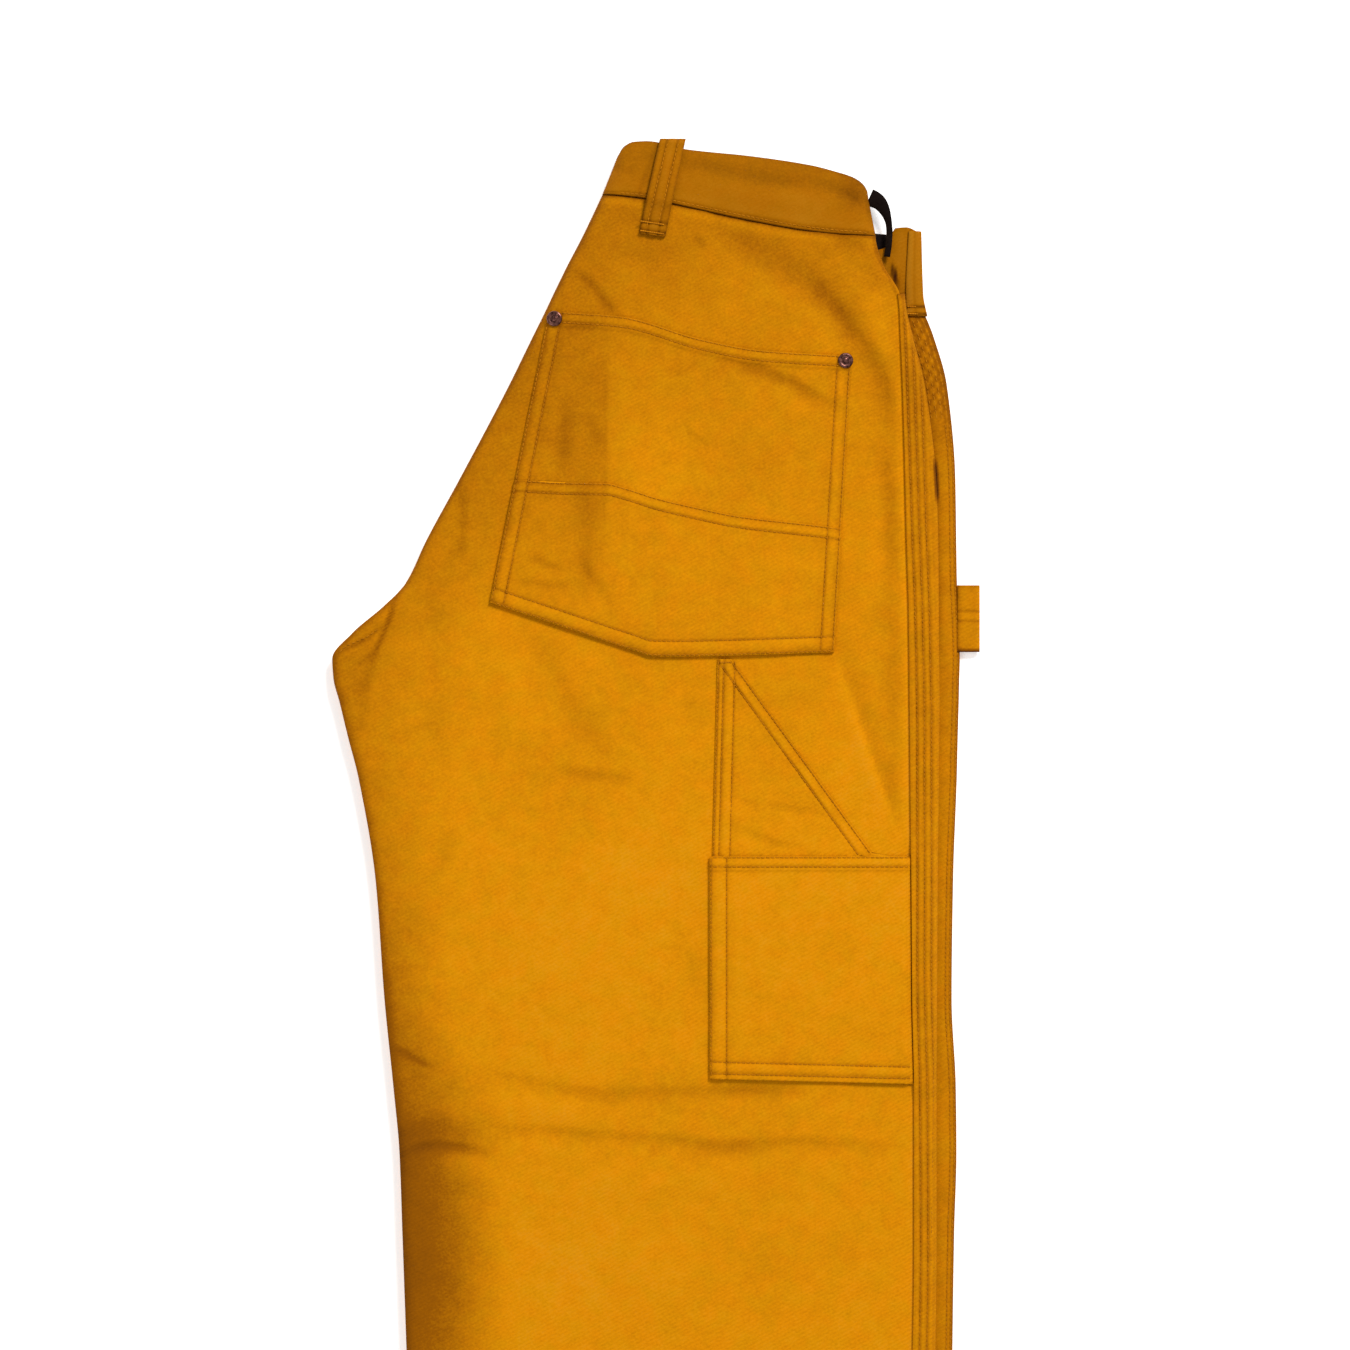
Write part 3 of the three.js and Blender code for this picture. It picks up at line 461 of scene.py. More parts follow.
def new_object(name, vertices, faces, materials, shade=None, face_slots=None):
    mesh = bpy.data.meshes.new(name)
    mesh.from_pydata(vertices.tolist(), [], faces)
    for material in materials:
        mesh.materials.append(material)
    if shade is not None:
        attribute = mesh.attributes.new("shade", "FLOAT", "POINT")
        attribute.data.foreach_set("value", np.asarray(shade, np.float32).ravel())
    if face_slots is not None:
        mesh.polygons.foreach_set("material_index", np.asarray(face_slots, np.int32))
    mesh.polygons.foreach_set("use_smooth", np.ones(len(mesh.polygons), bool))
    mesh.update()
    made = bpy.data.objects.new(name, mesh)
    bpy.context.scene.collection.objects.link(made)
    return made


def every(count, stride):
    """Every stride-th index, and the last one."""
    picked = list(range(0, count - 1, stride))
    return np.array(picked + [count - 1])


def grid_faces(index):
    corners = [index[:-1, :-1], index[:-1, 1:], index[1:, 1:], index[1:, :-1]]
    return np.stack(corners, -1).reshape(-1, 4)


def rim_faces(outer, inner, rows, cols):
    """Faces that close the sheet all round, each from one coarse inner edge to the fine outer
    ones beside it."""
    sides = [
        (outer[0], inner[0], cols),
        (outer[:, -1], inner[:, -1], rows),
        (outer[-1, ::-1], inner[-1, ::-1], len(outer[0]) - 1 - cols[::-1]),
        (outer[::-1, 0], inner[::-1, 0], len(outer) - 1 - rows[::-1]),
    ]
    faces = []
    for fine, coarse, picked in sides:
        for k in range(len(picked) - 1):
            stretch = fine[picked[k] : picked[k + 1] + 1][::-1]
            faces.append([*stretch.tolist(), int(coarse[k]), int(coarse[k + 1])])
    return faces


def build_shell(name, outer, inner, shade, materials, stride=1):
    """A closed sheet of cloth from the grids of its two faces; the inner one is coarser by its
    stride. A second material, if there is one, is the cloth's other side."""
    rows, cols = every(outer.shape[0], stride), every(outer.shape[1], stride)
    inner_points = inner[np.ix_(rows, cols)]
    count = outer.shape[0] * outer.shape[1]
    outer_index = np.arange(count).reshape(outer.shape[:2])
    inner_index = count + np.arange(len(rows) * len(cols)).reshape(len(rows), len(cols))
    front = grid_faces(outer_index).tolist()
    back = grid_faces(inner_index)[:, ::-1].tolist()
    faces = front + back + rim_faces(outer_index, inner_index, rows, cols)
    normal = np.cross(outer[1:, 1:] - outer[:-1, :-1], outer[1:, :-1] - outer[:-1, 1:])
    if (normal * (outer - inner)[:-1, :-1]).sum() < 0:
        faces = [face[::-1] for face in faces]
    slots = np.zeros(len(faces), int)
    if len(materials) > 1:
        slots[len(front) : len(front) + len(back)] = 1
    vertices = to_frame(np.concatenate([outer.reshape(-1, 3), inner_points.reshape(-1, 3)]))
    shades = np.concatenate([shade.ravel(), np.zeros(len(vertices) - count)])
    return new_object(name, vertices, faces, materials, shades, slots)


def spaced(start, end, step):
    """Evenly spaced values from start to end, about one step apart."""
    return np.linspace(start, end, max(2, int(round(abs(end - start) / step)) + 1))


def merged(*stretches):
    """Several stretches of values in one rising list, without repeats."""
    values = np.unique(np.round(np.concatenate(stretches), 4))
    return values[np.concatenate([[True], np.diff(values) > 0.002])]


def section_heights(top, step=2.6, fine=()):
    """Heights of a leg's rows: coarse below the camera's view, and finer stretches where needed."""
    low = [spaced(0, HEM_DEPTH + 4, 1.5), spaced(HEM_DEPTH + 4, FRAME_LOW_Y, 9)]
    return merged(*low, spaced(FRAME_LOW_Y, top, step), *fine)


def rolled_edge(edge, side, up, level, face, roll, wall, count):
    """Columns x, z of the outer face and x, z of the inner one along a cloth wall's rounded edge.
    side is -1 for the crotch side and 1 for the outseam; up is 1 for a wall that faces up."""
    angle = np.linspace(0, np.pi / 2, count + 1)[None, :]
    edge, level, face, roll = (np.reshape(v, (-1, 1)) * 1.0 for v in (edge, level, face, roll))
    rise = np.abs(face - level)
    inner_rise = np.maximum(rise - wall, 0.05)
    shrink = wall * np.clip(rise / wall, 0.1, 1)
    x = edge - side * roll * (1 - np.cos(angle))
    z = face - up * rise * (1 - np.sin(angle))
    xi = edge - side * (shrink + (roll - shrink) * (1 - np.cos(angle)))
    zi = face - up * (wall + inner_rise * (1 - np.sin(angle)))
    rows = max(len(x), len(z), len(xi), len(zi))
    columns = np.stack([np.broadcast_to(v, (rows, count + 1)) for v in (x, z, xi, zi)], -1)
    return columns if side < 0 else columns[:, ::-1]


def flat_columns(x, z, up, wall):
    z = np.broadcast_to(z, x.shape)
    return np.stack([x, z, x, z - up * wall], -1)


def between(start, end, shares):
    """Rows of x from start to end, which change from row to row, at the same shares."""
    return np.reshape(start, (-1, 1)) + np.reshape(end - start, (-1, 1)) * shares[None, :]


def lift(stretches, y0, shift):
    """Outer and inner grids of points from a panel's stretches of columns. shift gives how far
    each point lies above its row."""
    x, z, xi, zi = np.moveaxis(np.concatenate(stretches, axis=1), -1, 0)
    y = y0[:, None]
    return np.stack([x, y + shift(x, y), z], -1), np.stack([xi, y + shift(xi, y), zi], -1)


# Sewing: relief that rows of stitches press into the cloth, by the distance from its edge


def seam_relief(distance, rows, along=0, rim=1.0):
    """Height and shade beside a sewn edge: a pressed rim with a painted highlight, grooves at the
    rows with painted shade, and between them cloth that puffs up most beside the inner row, with
    painted shade beside the first row and a painted highlight on the puff."""
    inside = np.maximum(distance, 0)
    height = -0.3 * np.exp(-inside / 0.45) * rim
    shade = -0.06 * np.exp(-inside / 0.8) * rim
    uneven = 1 + 0.5 * soft_noise(along, distance, 9, 11)
    for row in rows:
        height = height - 0.34 * bell((distance - row) / 0.75) * uneven
        shade = shade + 0.15 * bell((distance - row) / 0.85) * (0.85 + 0.15 * uneven)
    for first, second in zip(rows[:-1], rows[1:]):
        share = np.clip((distance - first) / (second - first), 0, 1)
        puff = np.sin(np.pi * share**1.35)
        height = height + 0.3 * puff * (0.8 + 0.5 * soft_noise(along, distance, 6, 12))
        wide = smooth(4.5, 7, second - first)
        shade = shade + 0.07 * wide * bell((share - 0.2) / 0.16) - 0.015 * puff
    beyond = distance - rows[-1]
    return height, shade + 0.03 * bell((beyond - 2.6) / 1.8)


def line_path(points, step=1.0):
    """Points one step apart along straight stretches between the given points."""
    points = np.array(points, float)
    at = lengths_along(points)
    s = spaced(0, at[-1], step)
    return np.stack([np.interp(s, at, points[:, 0]), np.interp(s, at, points[:, 1])], -1)


def offset_line(a, b, inset, trim_start=0, trim_end=0):
    """The straight line from a to b, moved to its right by inset and shortened at its ends."""
    a, b = np.array(a, float), np.array(b, float)
    t = (b - a) / np.linalg.norm(b - a)
    n = np.array([t[1], -t[0]])
    return [a + n * inset + t * trim_start, b + n * inset - t * trim_end]


def ring_walls(sides, rings):
    """The four-sided faces between rings of points that follow each other."""
    around = np.arange(sides)
    after = np.roll(around, -1)
    wall = np.stack([around, after, after + sides, around + sides], -1)
    return np.concatenate([wall + ring * sides for ring in range(rings - 1)])


CAPSULE_SIDES = 5
CAPSULE_RINGS = table(
    "along width rise", (-0.5, 0.35, -0.25), (-0.3, 1, 0.25), (0.3, 1, 0.25), (0.5, 0.35, -0.25)
)


def stitch_geometry(path, face, kind, sink=0.25):
    """Points, walls and end caps of one row of stitches along a path in plan, laid on a face."""
    at = lengths_along(path)
    count = max(1, int(at[-1] // kind["pitch"]))
    middle = (np.arange(count) + 0.5) * at[-1] / count
    ends = []
    for s in (middle - kind["length"] / 2, middle + kind["length"] / 2):
        x, y = np.interp(s, at, path[:, 0]), np.interp(s, at, path[:, 1])
        ends.append(np.stack([x, y, face(x, y) + kind["radius"] * (1 - sink * 2)], -1))
    first, last = ends
    forward = last - first
    forward /= np.linalg.norm(forward, axis=1, keepdims=True)
    side = np.cross(forward, [0, 0, 1])
    side /= np.linalg.norm(side, axis=1, keepdims=True)
    up = np.cross(side, forward)
    points = []
    for ring in CAPSULE_RINGS:
        centre = (first + last) / 2 + forward * ring["along"] * kind["length"]
        centre = centre + up * ring["rise"] * kind["radius"]
        radius = kind["radius"] * ring["width"]
        for k in range(CAPSULE_SIDES):
            angle = 2 * np.pi * k / CAPSULE_SIDES
            points.append(centre + radius * (side * math.cos(angle) + up * math.sin(angle)))
    around = np.arange(CAPSULE_SIDES)
    walls = ring_walls(CAPSULE_SIDES, len(CAPSULE_RINGS))
    per_stitch = len(CAPSULE_RINGS) * CAPSULE_SIDES
    caps = np.stack([around[::-1], around + per_stitch - CAPSULE_SIDES])
    bases = np.arange(count)[:, None, None] * per_stitch
    vertices = np.stack(points, 1).reshape(-1, 3)
    return vertices, (walls + bases).reshape(-1, 4), (caps + bases).reshape(-1, CAPSULE_SIDES)


def sew(name, rows, kind=TOPSTITCH):
    """One joined mesh of thread. rows are (path, face) or (path, face, sink)."""
    vertices, faces, count = [], [], 0
    for path, face, *sink in rows:
        points, walls, caps = stitch_geometry(path, face, kind, *sink)
        vertices.append(points)
        faces += (walls + count).tolist() + (caps + count).tolist()
        count += len(points)
    made = new_object(name, to_frame(np.concatenate(vertices)), faces, [thread])
    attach(made, "root")
    return made


# Materials


def nodes_of(name):
    material = bpy.data.materials.new(name)
    material.use_nodes = True
    tree = material.node_tree
    return material, tree, tree.nodes["Principled BSDF"]


def add_node(tree, kind, settings=None, **inputs):
    """A node with its settings and the values or links of its inputs."""
    node = tree.nodes.new(kind)
    for key, value in (settings or {}).items():
        setattr(node, key, value)
    for key, value in inputs.items():
        socket = node.inputs[int(key[1:])] if key[1:].isdigit() else node.inputs[key.replace("_", " ")]
        if isinstance(value, bpy.types.NodeSocket):
            tree.links.new(value, socket)
        else:
            socket.default_value = value
    return node


def set_inputs(node, values):
    for name, value in values.items():
        node.inputs[name].default_value = value


def noise(tree, place, size, detail=3, roughness=0.55):
    node = add_node(
        tree, "ShaderNodeTexNoise", Vector=place, Scale=1 / size, Detail=detail, Roughness=roughness
    )
    return node.outputs["Fac"]


def spread(tree, value, low, high, to_low, to_high):
    ends = {"From_Min": low, "From_Max": high, "To_Min": to_low, "To_Max": to_high}
    return add_node(tree, "ShaderNodeMapRange", Value=value, **ends).outputs["Result"]


def combine(tree, operation, a, b):
    return add_node(tree, "ShaderNodeMath", {"operation": operation}, _0=a, _1=b).outputs[0]


def mix_colour(tree, amount, a, b):
    return add_node(tree, "ShaderNodeMix", {"data_type": "RGBA"}, _0=amount, _6=a, _7=b).outputs[2]


# The darkest painted shade, for slits, shadowed edges and the crotch side's darkest edge
DARKEST_SHADE = (0.03, 0.006, 0.002, 1)  # the darkest colour, deep in a slit


def twill_material(name, base, olive, lighter, shade_and_dye_colour, weave=0.4):
    """Brushed cotton twill: diagonal weave, soft nap, uneven dye, and painted shade in creases and painted
    highlights, both from the shade attribute.
    """
    material, tree, shader = nodes_of(name)
    place = add_node(tree, "ShaderNodeTexCoord").outputs["Object"]
    shade = add_node(tree, "ShaderNodeAttribute", {"attribute_name": "shade"}).outputs["Fac"]
    cloud = spread(tree, noise(tree, place, 0.05, 3), 0.3, 0.7, -0.02, 0.02)
    blotch = spread(tree, noise(tree, place, 0.009, 3), 0.3, 0.7, -0.035, 0.035)
    speckle = spread(tree, noise(tree, place, 0.0016, 2, 0.7), 0.3, 0.7, -0.06, 0.06)
    dye = combine(tree, "ADD", combine(tree, "ADD", cloud, blotch), speckle)
    dark = combine(tree, "ADD", shade, dye)
    hue = spread(tree, noise(tree, place, 0.014, 2), 0.35, 0.65, 0, 1)
    colour = mix_colour(tree, hue, base, olive)
    # Above zero, shade and dye mix in the darker colour (painted shade with darker dye); below zero, the
    # lighter one (painted highlight with paler dye); above 0.4, the darkest painted shade
    colour = mix_colour(tree, spread(tree, dark, 0, 0.4, 0, 1), colour, shade_and_dye_colour)
    colour = mix_colour(tree, spread(tree, dark, 0, -0.3, 0, 1), colour, lighter)
    colour = mix_colour(tree, spread(tree, dark, 0.4, 1.1, 0, 1), colour, DARKEST_SHADE)
    tree.links.new(colour, shader.inputs["Base Color"])
    turned = add_node(tree, "ShaderNodeMapping", Vector=place, Rotation=(0, 0, math.radians(62)))
    ribs = add_node(
        tree,
        "ShaderNodeTexWave",
        {"bands_direction": "X"},
        Vector=turned.outputs["Vector"],
        Scale=RIB_SCALE,
        Distortion=1.5,
        Detail_Scale=2,
    )
    height = combine(tree, "MULTIPLY", ribs.outputs["Fac"], weave)
    height = combine(tree, "ADD", height, noise(tree, place, 0.0016, 4, 0.65))
    height = combine(tree, "ADD", height, combine(tree, "MULTIPLY", noise(tree, place, 0.006, 2), 1.1))
    bump = add_node(tree, "ShaderNodeBump", Height=height, Distance=0.0004, Strength=0.6)
    tree.links.new(bump.outputs["Normal"], shader.inputs["Normal"])
    set_inputs(shader, {"Roughness": 0.95, "Specular IOR Level": 0.04, "Sheen Weight": 0.04})
    set_inputs(shader, {"Sheen Roughness": 0.5, "Sheen Tint": (1.0, 0.55, 0.08, 1)})
    return material


def thread_material():
    material, tree, shader = nodes_of("thread")
    place = add_node(tree, "ShaderNodeTexCoord").outputs["Object"]
    uneven = spread(tree, noise(tree, place, 0.004, 2), 0.3, 0.7, 0, 1)
    colour = mix_colour(tree, uneven, (0.32, 0.108, 0.002, 1), (0.46, 0.17, 0.005, 1))
    tree.links.new(colour, shader.inputs["Base Color"])
    set_inputs(shader, {"Roughness": 0.8, "Specular IOR Level": 0.05})
    return material


def metal_material(name, light, dark, roughness):
    material, tree, shader = nodes_of(name)
    place = add_node(tree, "ShaderNodeTexCoord").outputs["Object"]
    lighter = spread(tree, noise(tree, place, 0.0018, 3), 0.35, 0.65, 0, 1)
    tree.links.new(mix_colour(tree, lighter, dark, light), shader.inputs["Base Color"])
    dents = noise(tree, place, 0.001, 2)
    bump = add_node(tree, "ShaderNodeBump", Height=dents, Distance=0.0001, Strength=0.4)
    tree.links.new(bump.outputs["Normal"], shader.inputs["Normal"])
    set_inputs(shader, {"Metallic": 0.9, "Roughness": roughness})
    return material


RIB_SPACING = 0.0021734  # metres
RIB_SCALE = 2 * math.pi / (20 * RIB_SPACING)  # the wave texture turns 20 radians a unit
twill = twill_material(
    "twill",
    base=(0.585, 0.204, 0.0006, 1),
    olive=(0.55, 0.215, 0.0006, 1),
    lighter=(0.62, 0.26, 0.014, 1),
    shade_and_dye_colour=(0.25, 0.077, 0.0004, 1),
)
# A darker copy of the twill for the waistband and belt loops: painted shade towards the waist
shaded_band_twill = twill_material(
    "shaded_band_twill",
    base=(0.295, 0.095, 0.0003, 1),
    olive=(0.285, 0.098, 0.0003, 1),
    lighter=(0.34, 0.128, 0.004, 1),
    shade_and_dye_colour=(0.11, 0.033, 0.0002, 1),
    weave=0.3,
)
BLACK = (0.004, 0.002, 0.002, 1)
facing = twill_material("facing", (0.008, 0.005, 0.005, 1), BLACK, (0.02, 0.013, 0.012, 1), BLACK)
thread = thread_material()
copper = metal_material("copper", (0.2, 0.085, 0.065, 1), (0.035, 0.011, 0.01, 1), 0.35)
button_metal = metal_material("button_metal", (0.55, 0.38, 0.18, 1), (0.25, 0.16, 0.08, 1), 0.35)


def cloth(made, replaced):
    """Puts a piece of cloth that stands for a node of the frame under the root body, and hides
    that node."""
    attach(made, "root")
    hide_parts(replaced)
    return made


# Leg panels


def tilt(line, x, y0):
    """How far a row is moved so that the topmost one follows the waistband's seam."""
    return (line(x) - CENTRE_BACK_Y) * smooth(WAIST_TILT_Y, CENTRE_BACK_Y, y0) ** 1.5


def hem_relief(y):
    """The hem is turned up twice and stitched."""
    return HEM_RISE * (1 - smooth(HEM_DEPTH - 1, HEM_DEPTH + 1, y)) - 0.3 * bell((y - HEM_DEPTH + 2.5) / 1.2)


def waist_seam_relief(x, y):
    """The leg is gathered a little into the waistband, with painted shade along the seam and a painted
    highlight just below it.
    """
    below = seam_line(x) - y
    gather = 0.28 * soft_noise(x, y * 0.3, 7, 21) * bell(below / 14)
    press = -0.5 * bell(below / 1.6)
    return gather + press, 0.16 * bell(below / 1.6) - 0.07 * bell((below - 4) / 2)


def back_right():
    waist = spaced(CENTRE_BACK_Y - 6, CENTRE_BACK_Y, 0.8)
    y0 = section_heights(CENTRE_BACK_Y, 1.95, [waist, spaced(780, 826, 1.2)])
    y_end = y0 + tilt(seam_line, 130, y0)
    free = smooth(HIP_TOP_Y - 3, HIP_TOP_Y + 12, y_end)
    lapped = np.minimum(UNDERLAP, 0.3 * (fold_edge(y_end) - lap_edge(y_end)))
    end = lap_edge(y_end) + lapped * (1 - free)
    turn = lerp(3, 8, free)
    start, roll = crotch_edge(y0), edge_roll(y0)
    level = join_level(y0) + SEAM_GAP / 2
    left = rolled_edge(start, -1, 1, level, top_level(y0), roll, WALL, 11)
    dip_x = lap_edge(y_end) - lerp(5, 12, free)
    wide = between(start + roll, dip_x, np.linspace(0, 1, 160)[1:])
    near = between(dip_x, end - turn, np.linspace(0, 1, 7)[1:-1])
    middle = np.concatenate([wide, near], axis=1)
    y_middle = y0[:, None] + tilt(seam_line, middle, y0[:, None])
    middle = flat_columns(middle, top_face(middle, y_middle)[0], 1, WALL)
    end_face = top_face(end - turn, y_end)[0]
    right = rolled_edge(end, 1, 1, end_face - FREE_EDGE_DROP * free, end_face, turn, WALL, 5)
    outer, inner = lift([left, middle, right], y0, lambda x, y: tilt(seam_line, x, y))
    x, y, z = np.moveaxis(outer, -1, 0)
    height, shade = top_face(x, y)
    rolled_part = np.arange(x.shape[1])[None, :] < left.shape[1]
    outer[..., 2] = np.where(rolled_part, height, z)
    press, dark = waist_seam_relief(x, y)
    outer[..., 2] += press + hem_relief(y)
    # Painted shade under the free edge above the lap, and a painted highlight beside the lap
    free_edge_shade = 0.16 * bell((lap_edge(y) - 1.2 - x) / 1.2) * smooth(1000, 1008, y)
    lap_highlight = -0.12 * bell((lap_edge(y) - 0.6 - x) / 1.3) * (1 - smooth(998, 1004, y))
    shade = shade + dark + free_edge_shade + lap_highlight
    return build_shell("back_right_cloth", outer, inner, shade, [twill], 4)


def pocket_ride(y):
    return POCKET_RIDE * window(*RIDE_SPAN, y)


def strip_wander(y):
    """The rows of the felled outseam wander a little against its edge."""
    return np.interp(y, [0, 441, 594, 750, 934, 1003], [0, 0.5, -0.4, 0.9, -0.8, -0.8])


def lap_face(x, y):
    """Outer face of the right front where it wraps over the back at the outseam."""
    face = top_level(y) + LAP_STEP + pocket_ride(y)
    roll = np.minimum(FOLD_ROLL, 0.75 * (fold_edge(y) - lap_edge(y)))
    return FOLD_LEVEL + (face - FOLD_LEVEL) * quarter((fold_edge(y) - x) / roll)


def gap_shade_window(y):
    """1 where painted shade darkens the gap between the fold and the left leg."""
    return window(*GAP_SHADE_SPAN, y)


SIDE_SLIT = (143, 1014)


def side_slit_shade(x, y):
    """Painted shade of the small dark gap between the legs, below the end of the waist's facing."""
    above = y - SIDE_SLIT[1]
    return 1.3 * bell((x - SIDE_SLIT[0] + above * 0.2) / 1.3) * bell(above / 6)


def strip_relief(x, y):
    """Felled seam: a pressed lapped edge with a painted highlight, and grooves with painted shade and
    puckered ridges with painted highlights by turns; painted shade dims the strip, its top end and the gap
    at the fold.
    """
    distance = x - lap_edge(y)
    to_fold = fold_edge(y) - x
    height, shade = seam_relief(distance - strip_wander(y), STRIP_ROWS, y, 0)
    height = height - 0.25 * np.exp(-distance / 0.5)
    shade = shade * 0.75 - 0.08 * np.exp(-distance / 0.9)
    painted_dim = 0.15 + 0.05 * smooth(850, 960, y) + 0.2 * smooth(999, 1003, y)
    room = smooth(0.5, 3, to_fold)
    rope = 0.25 * soft_noise(x * 0.7, y, 5, 61) * smooth(0, 3, distance)
    ridge_highlights = sum(bell((distance - strip_wander(y) - ridge) / 0.75) for ridge in STRIP_RIDGE_HIGHLIGHTS)
    slit_shade = 0.6 * bell((to_fold - 0.5) / 0.8) * gap_shade_window(y)
    shade = (shade - 0.075 * ridge_highlights) * room + painted_dim + 0.02 - 0.04 * bell((to_fold - 1.6) / 1.2) + slit_shade
    return (height + rope) * room, shade


def front_right():
    y0 = section_heights(HIP_TOP_Y, 2.2)
    lap, width = lap_edge(y0), fold_edge(y0) - lap_edge(y0)
    roll = np.minimum(FOLD_ROLL, 0.75 * width)
    face = top_level(y0) + LAP_STEP + pocket_ride(y0)
    reach = fold_edge(y0) - roll
    wide = flat_columns(between(lap, reach, np.linspace(0, 1, 12)[:-1]), face[:, None], 1, WALL)
    upper = rolled_edge(fold_edge(y0), 1, 1, FOLD_LEVEL, face, roll, WALL, 20)
    lower = rolled_edge(fold_edge(y0), 1, -1, FOLD_LEVEL, FRONT_RIGHT_LEVEL, roll, WALL, 5)
    lower = lower[:, ::-1][:, 1:]
    start = front_start(y0)
    inland = between(reach, start + UNDER_ROLL, np.linspace(0, 1, 12)[1:-1])
    middle = flat_columns(inland, FRONT_RIGHT_LEVEL, -1, WALL)
    level = np.maximum(join_level(y0) - SEAM_GAP / 2, FRONT_RIGHT_LEVEL)
    left = rolled_edge(start, -1, -1, level, FRONT_RIGHT_LEVEL, UNDER_ROLL, WALL, 4)[:, ::-1]
    outer, inner = lift([wide, upper, lower, middle, left], y0, front_shift)
    x, y = outer[..., 0], outer[..., 1]
    on_top = np.arange(x.shape[1])[None, :] < wide.shape[1] + upper.shape[1]
    height, shade = strip_relief(x, y)
    outer[..., 2] += np.where(on_top, height, 0)
    shade = np.where(on_top, shade + 0.5 * waist_shade(y), 0.1)
    return build_shell("front_right_cloth", outer, inner, shade, [twill], 2)


def front_start(y):
    """The fronts' edges lie inside the backs' above the crotch."""
    return crotch_edge(y) + CENTRE_FRONT_INSET * smooth(*CENTRE_JOIN, y)


def front_shift(x, y0):
    return (front_seam_line(x) - HIP_TOP_Y) * smooth(860, HIP_TOP_Y, y0)


BRAID_PERIOD = 7.2


def under_relief(x, y):
    """Left outseam: two rows of stitches, drawn into braid-like puckers round the hip, with painted light
    and shade on the puckers, a painted shadow beside the fold, and painted shade in the gaps, at the rolled
    edge and towards the waist.
    """
    distance = under_edge(y) - x
    height, shade = seam_relief(distance, UNDER_ROWS, y, 0.3)
    braided = window(*BRAID_SPAN, y)
    for k, row in enumerate(BRAID_ROWS):
        wave = np.sin(2 * np.pi * (y / BRAID_PERIOD + 0.5 * (k % 2)))
        height = height + 0.35 * wave * bell((distance - row) / 1.4) * braided
        shade = shade - 0.3 * wave * bell((distance - row) / 1.3) * braided
    beyond = x - fold_edge(y)
    fold_shadow = 0.16 * np.exp(-np.maximum(beyond, 0) / 1.6) * smooth(780, 800, y)
    slit_shade = 0.85 * bell(beyond - 0.5) * gap_shade_window(y) + side_slit_shade(x, y)
    painted_dim = 0.14 + 0.15 * smooth(880, 960, y) + 0.4 * np.exp(-np.maximum(distance, 0) / 1.2)
    return height * 0.7, shade * 0.5 + painted_dim + fold_shadow + slit_shade + 0.3 * waist_shade(y)


def front_left():
    y0 = section_heights(HIP_TOP_Y, 1.8)
    start, end = front_start(y0), under_edge(y0)
    level = UNDER_SEAM_LEVEL + SEAM_GAP / 2
    inner_level = lerp(level, FRONT_LEFT_LEVEL, above_crotch(y0))
    left = rolled_edge(start, -1, 1, inner_level, FRONT_LEFT_LEVEL, UNDER_ROLL, WALL, 4)
    shares = np.concatenate([np.linspace(0, 0.9, 8)[1:], np.linspace(0.9, 1, 30)[1:-1]])
    middle = between(start + UNDER_ROLL, end - UNDER_ROLL, shares)
    middle = flat_columns(middle, FRONT_LEFT_LEVEL, 1, WALL)
    right = rolled_edge(end, 1, 1, level, FRONT_LEFT_LEVEL, UNDER_ROLL, WALL, 18)
    outer, inner = lift([left, middle, right], y0, front_shift)
    x, y = outer[..., 0], outer[..., 1]
    height, shade = under_relief(x, y)
    seen = smooth(fold_edge(y) - 12, fold_edge(y) - 6, x)
    outer[..., 2] += height * seen * smooth(0, 3, under_edge(y) - x)
    return build_shell("front_left_cloth", outer, inner, shade, [twill], 3)


def back_left():
    y0 = section_heights(CENTRE_BACK_Y, 6)
    y_end = y0 + tilt(under_seam_line, 157, y0)
    start, end = crotch_edge(y0), under_edge(y_end)
    level = lerp(UNDER_SEAM_LEVEL, CENTRE_SEAM_LEVEL, above_crotch(y0)) - SEAM_GAP / 2
    left = rolled_edge(start, -1, -1, level, 0, UNDER_ROLL, WALL, 6)
    middle = between(start + UNDER_ROLL, end - UNDER_ROLL, np.linspace(0, 1, 30)[1:-1])
    middle = flat_columns(middle, 0, -1, WALL)
    right = rolled_edge(end, 1, -1, UNDER_SEAM_LEVEL - SEAM_GAP / 2, 0, UNDER_ROLL, WALL, 6)
    outer, inner = lift([left, middle, right], y0, lambda x, y: tilt(under_seam_line, x, y))
    shade = 0.05 * soft_noise(outer[..., 0], outer[..., 1], 60, 6)
    return build_shell("back_left_cloth", outer, inner, shade, [twill])


# Waistband


def band(name, v, ends, edges, face, wall, up, levels, roll, step, relief):
    """A stretch of waistband. v is the share of its height, 0 at the seam and 1 at its top edge.
    ends and levels hold, for its left and its right end, a pair of values at those two."""
    start, end = lerp(*ends[0], v), lerp(*ends[1], v)
    low, high = edges
    first = rolled_edge(start, -1, up, lerp(*levels[0], v), face(start + roll, v), roll, wall, 8)
    last = rolled_edge(end, 1, up, lerp(*levels[1], v), face(end - roll, v), roll, wall, 8)
    x = between(start + roll, end - roll, np.linspace(0, 1, int(WAIST_REACH / step))[1:-1])
    middle = flat_columns(x, face(x, v[:, None]), up, wall)
    x, z, xi, zi = np.moveaxis(np.concatenate([first, middle, last], axis=1), -1, 0)
    rise = v[:, None]
    outer = np.stack([x, lerp(low(x), high(x), rise), z], -1)
    inner = np.stack([xi, lerp(low(xi), high(xi), rise), zi], -1)
    height, shade = relief(x, outer[..., 1], rise)
    outer[..., 2] += height
    return build_shell(name, outer, inner, shade + 0 * x, [shaded_band_twill, facing])


def back_band_face(x, v):
    """The band slopes down from its seam to its top edge."""
    hump = 0.8 * bell((x - 60) / 26) * np.sin(np.pi * v)
    return lerp(top_level(CENTRE_BACK_Y) + 0.9, 7.6, v**1.4) + hump


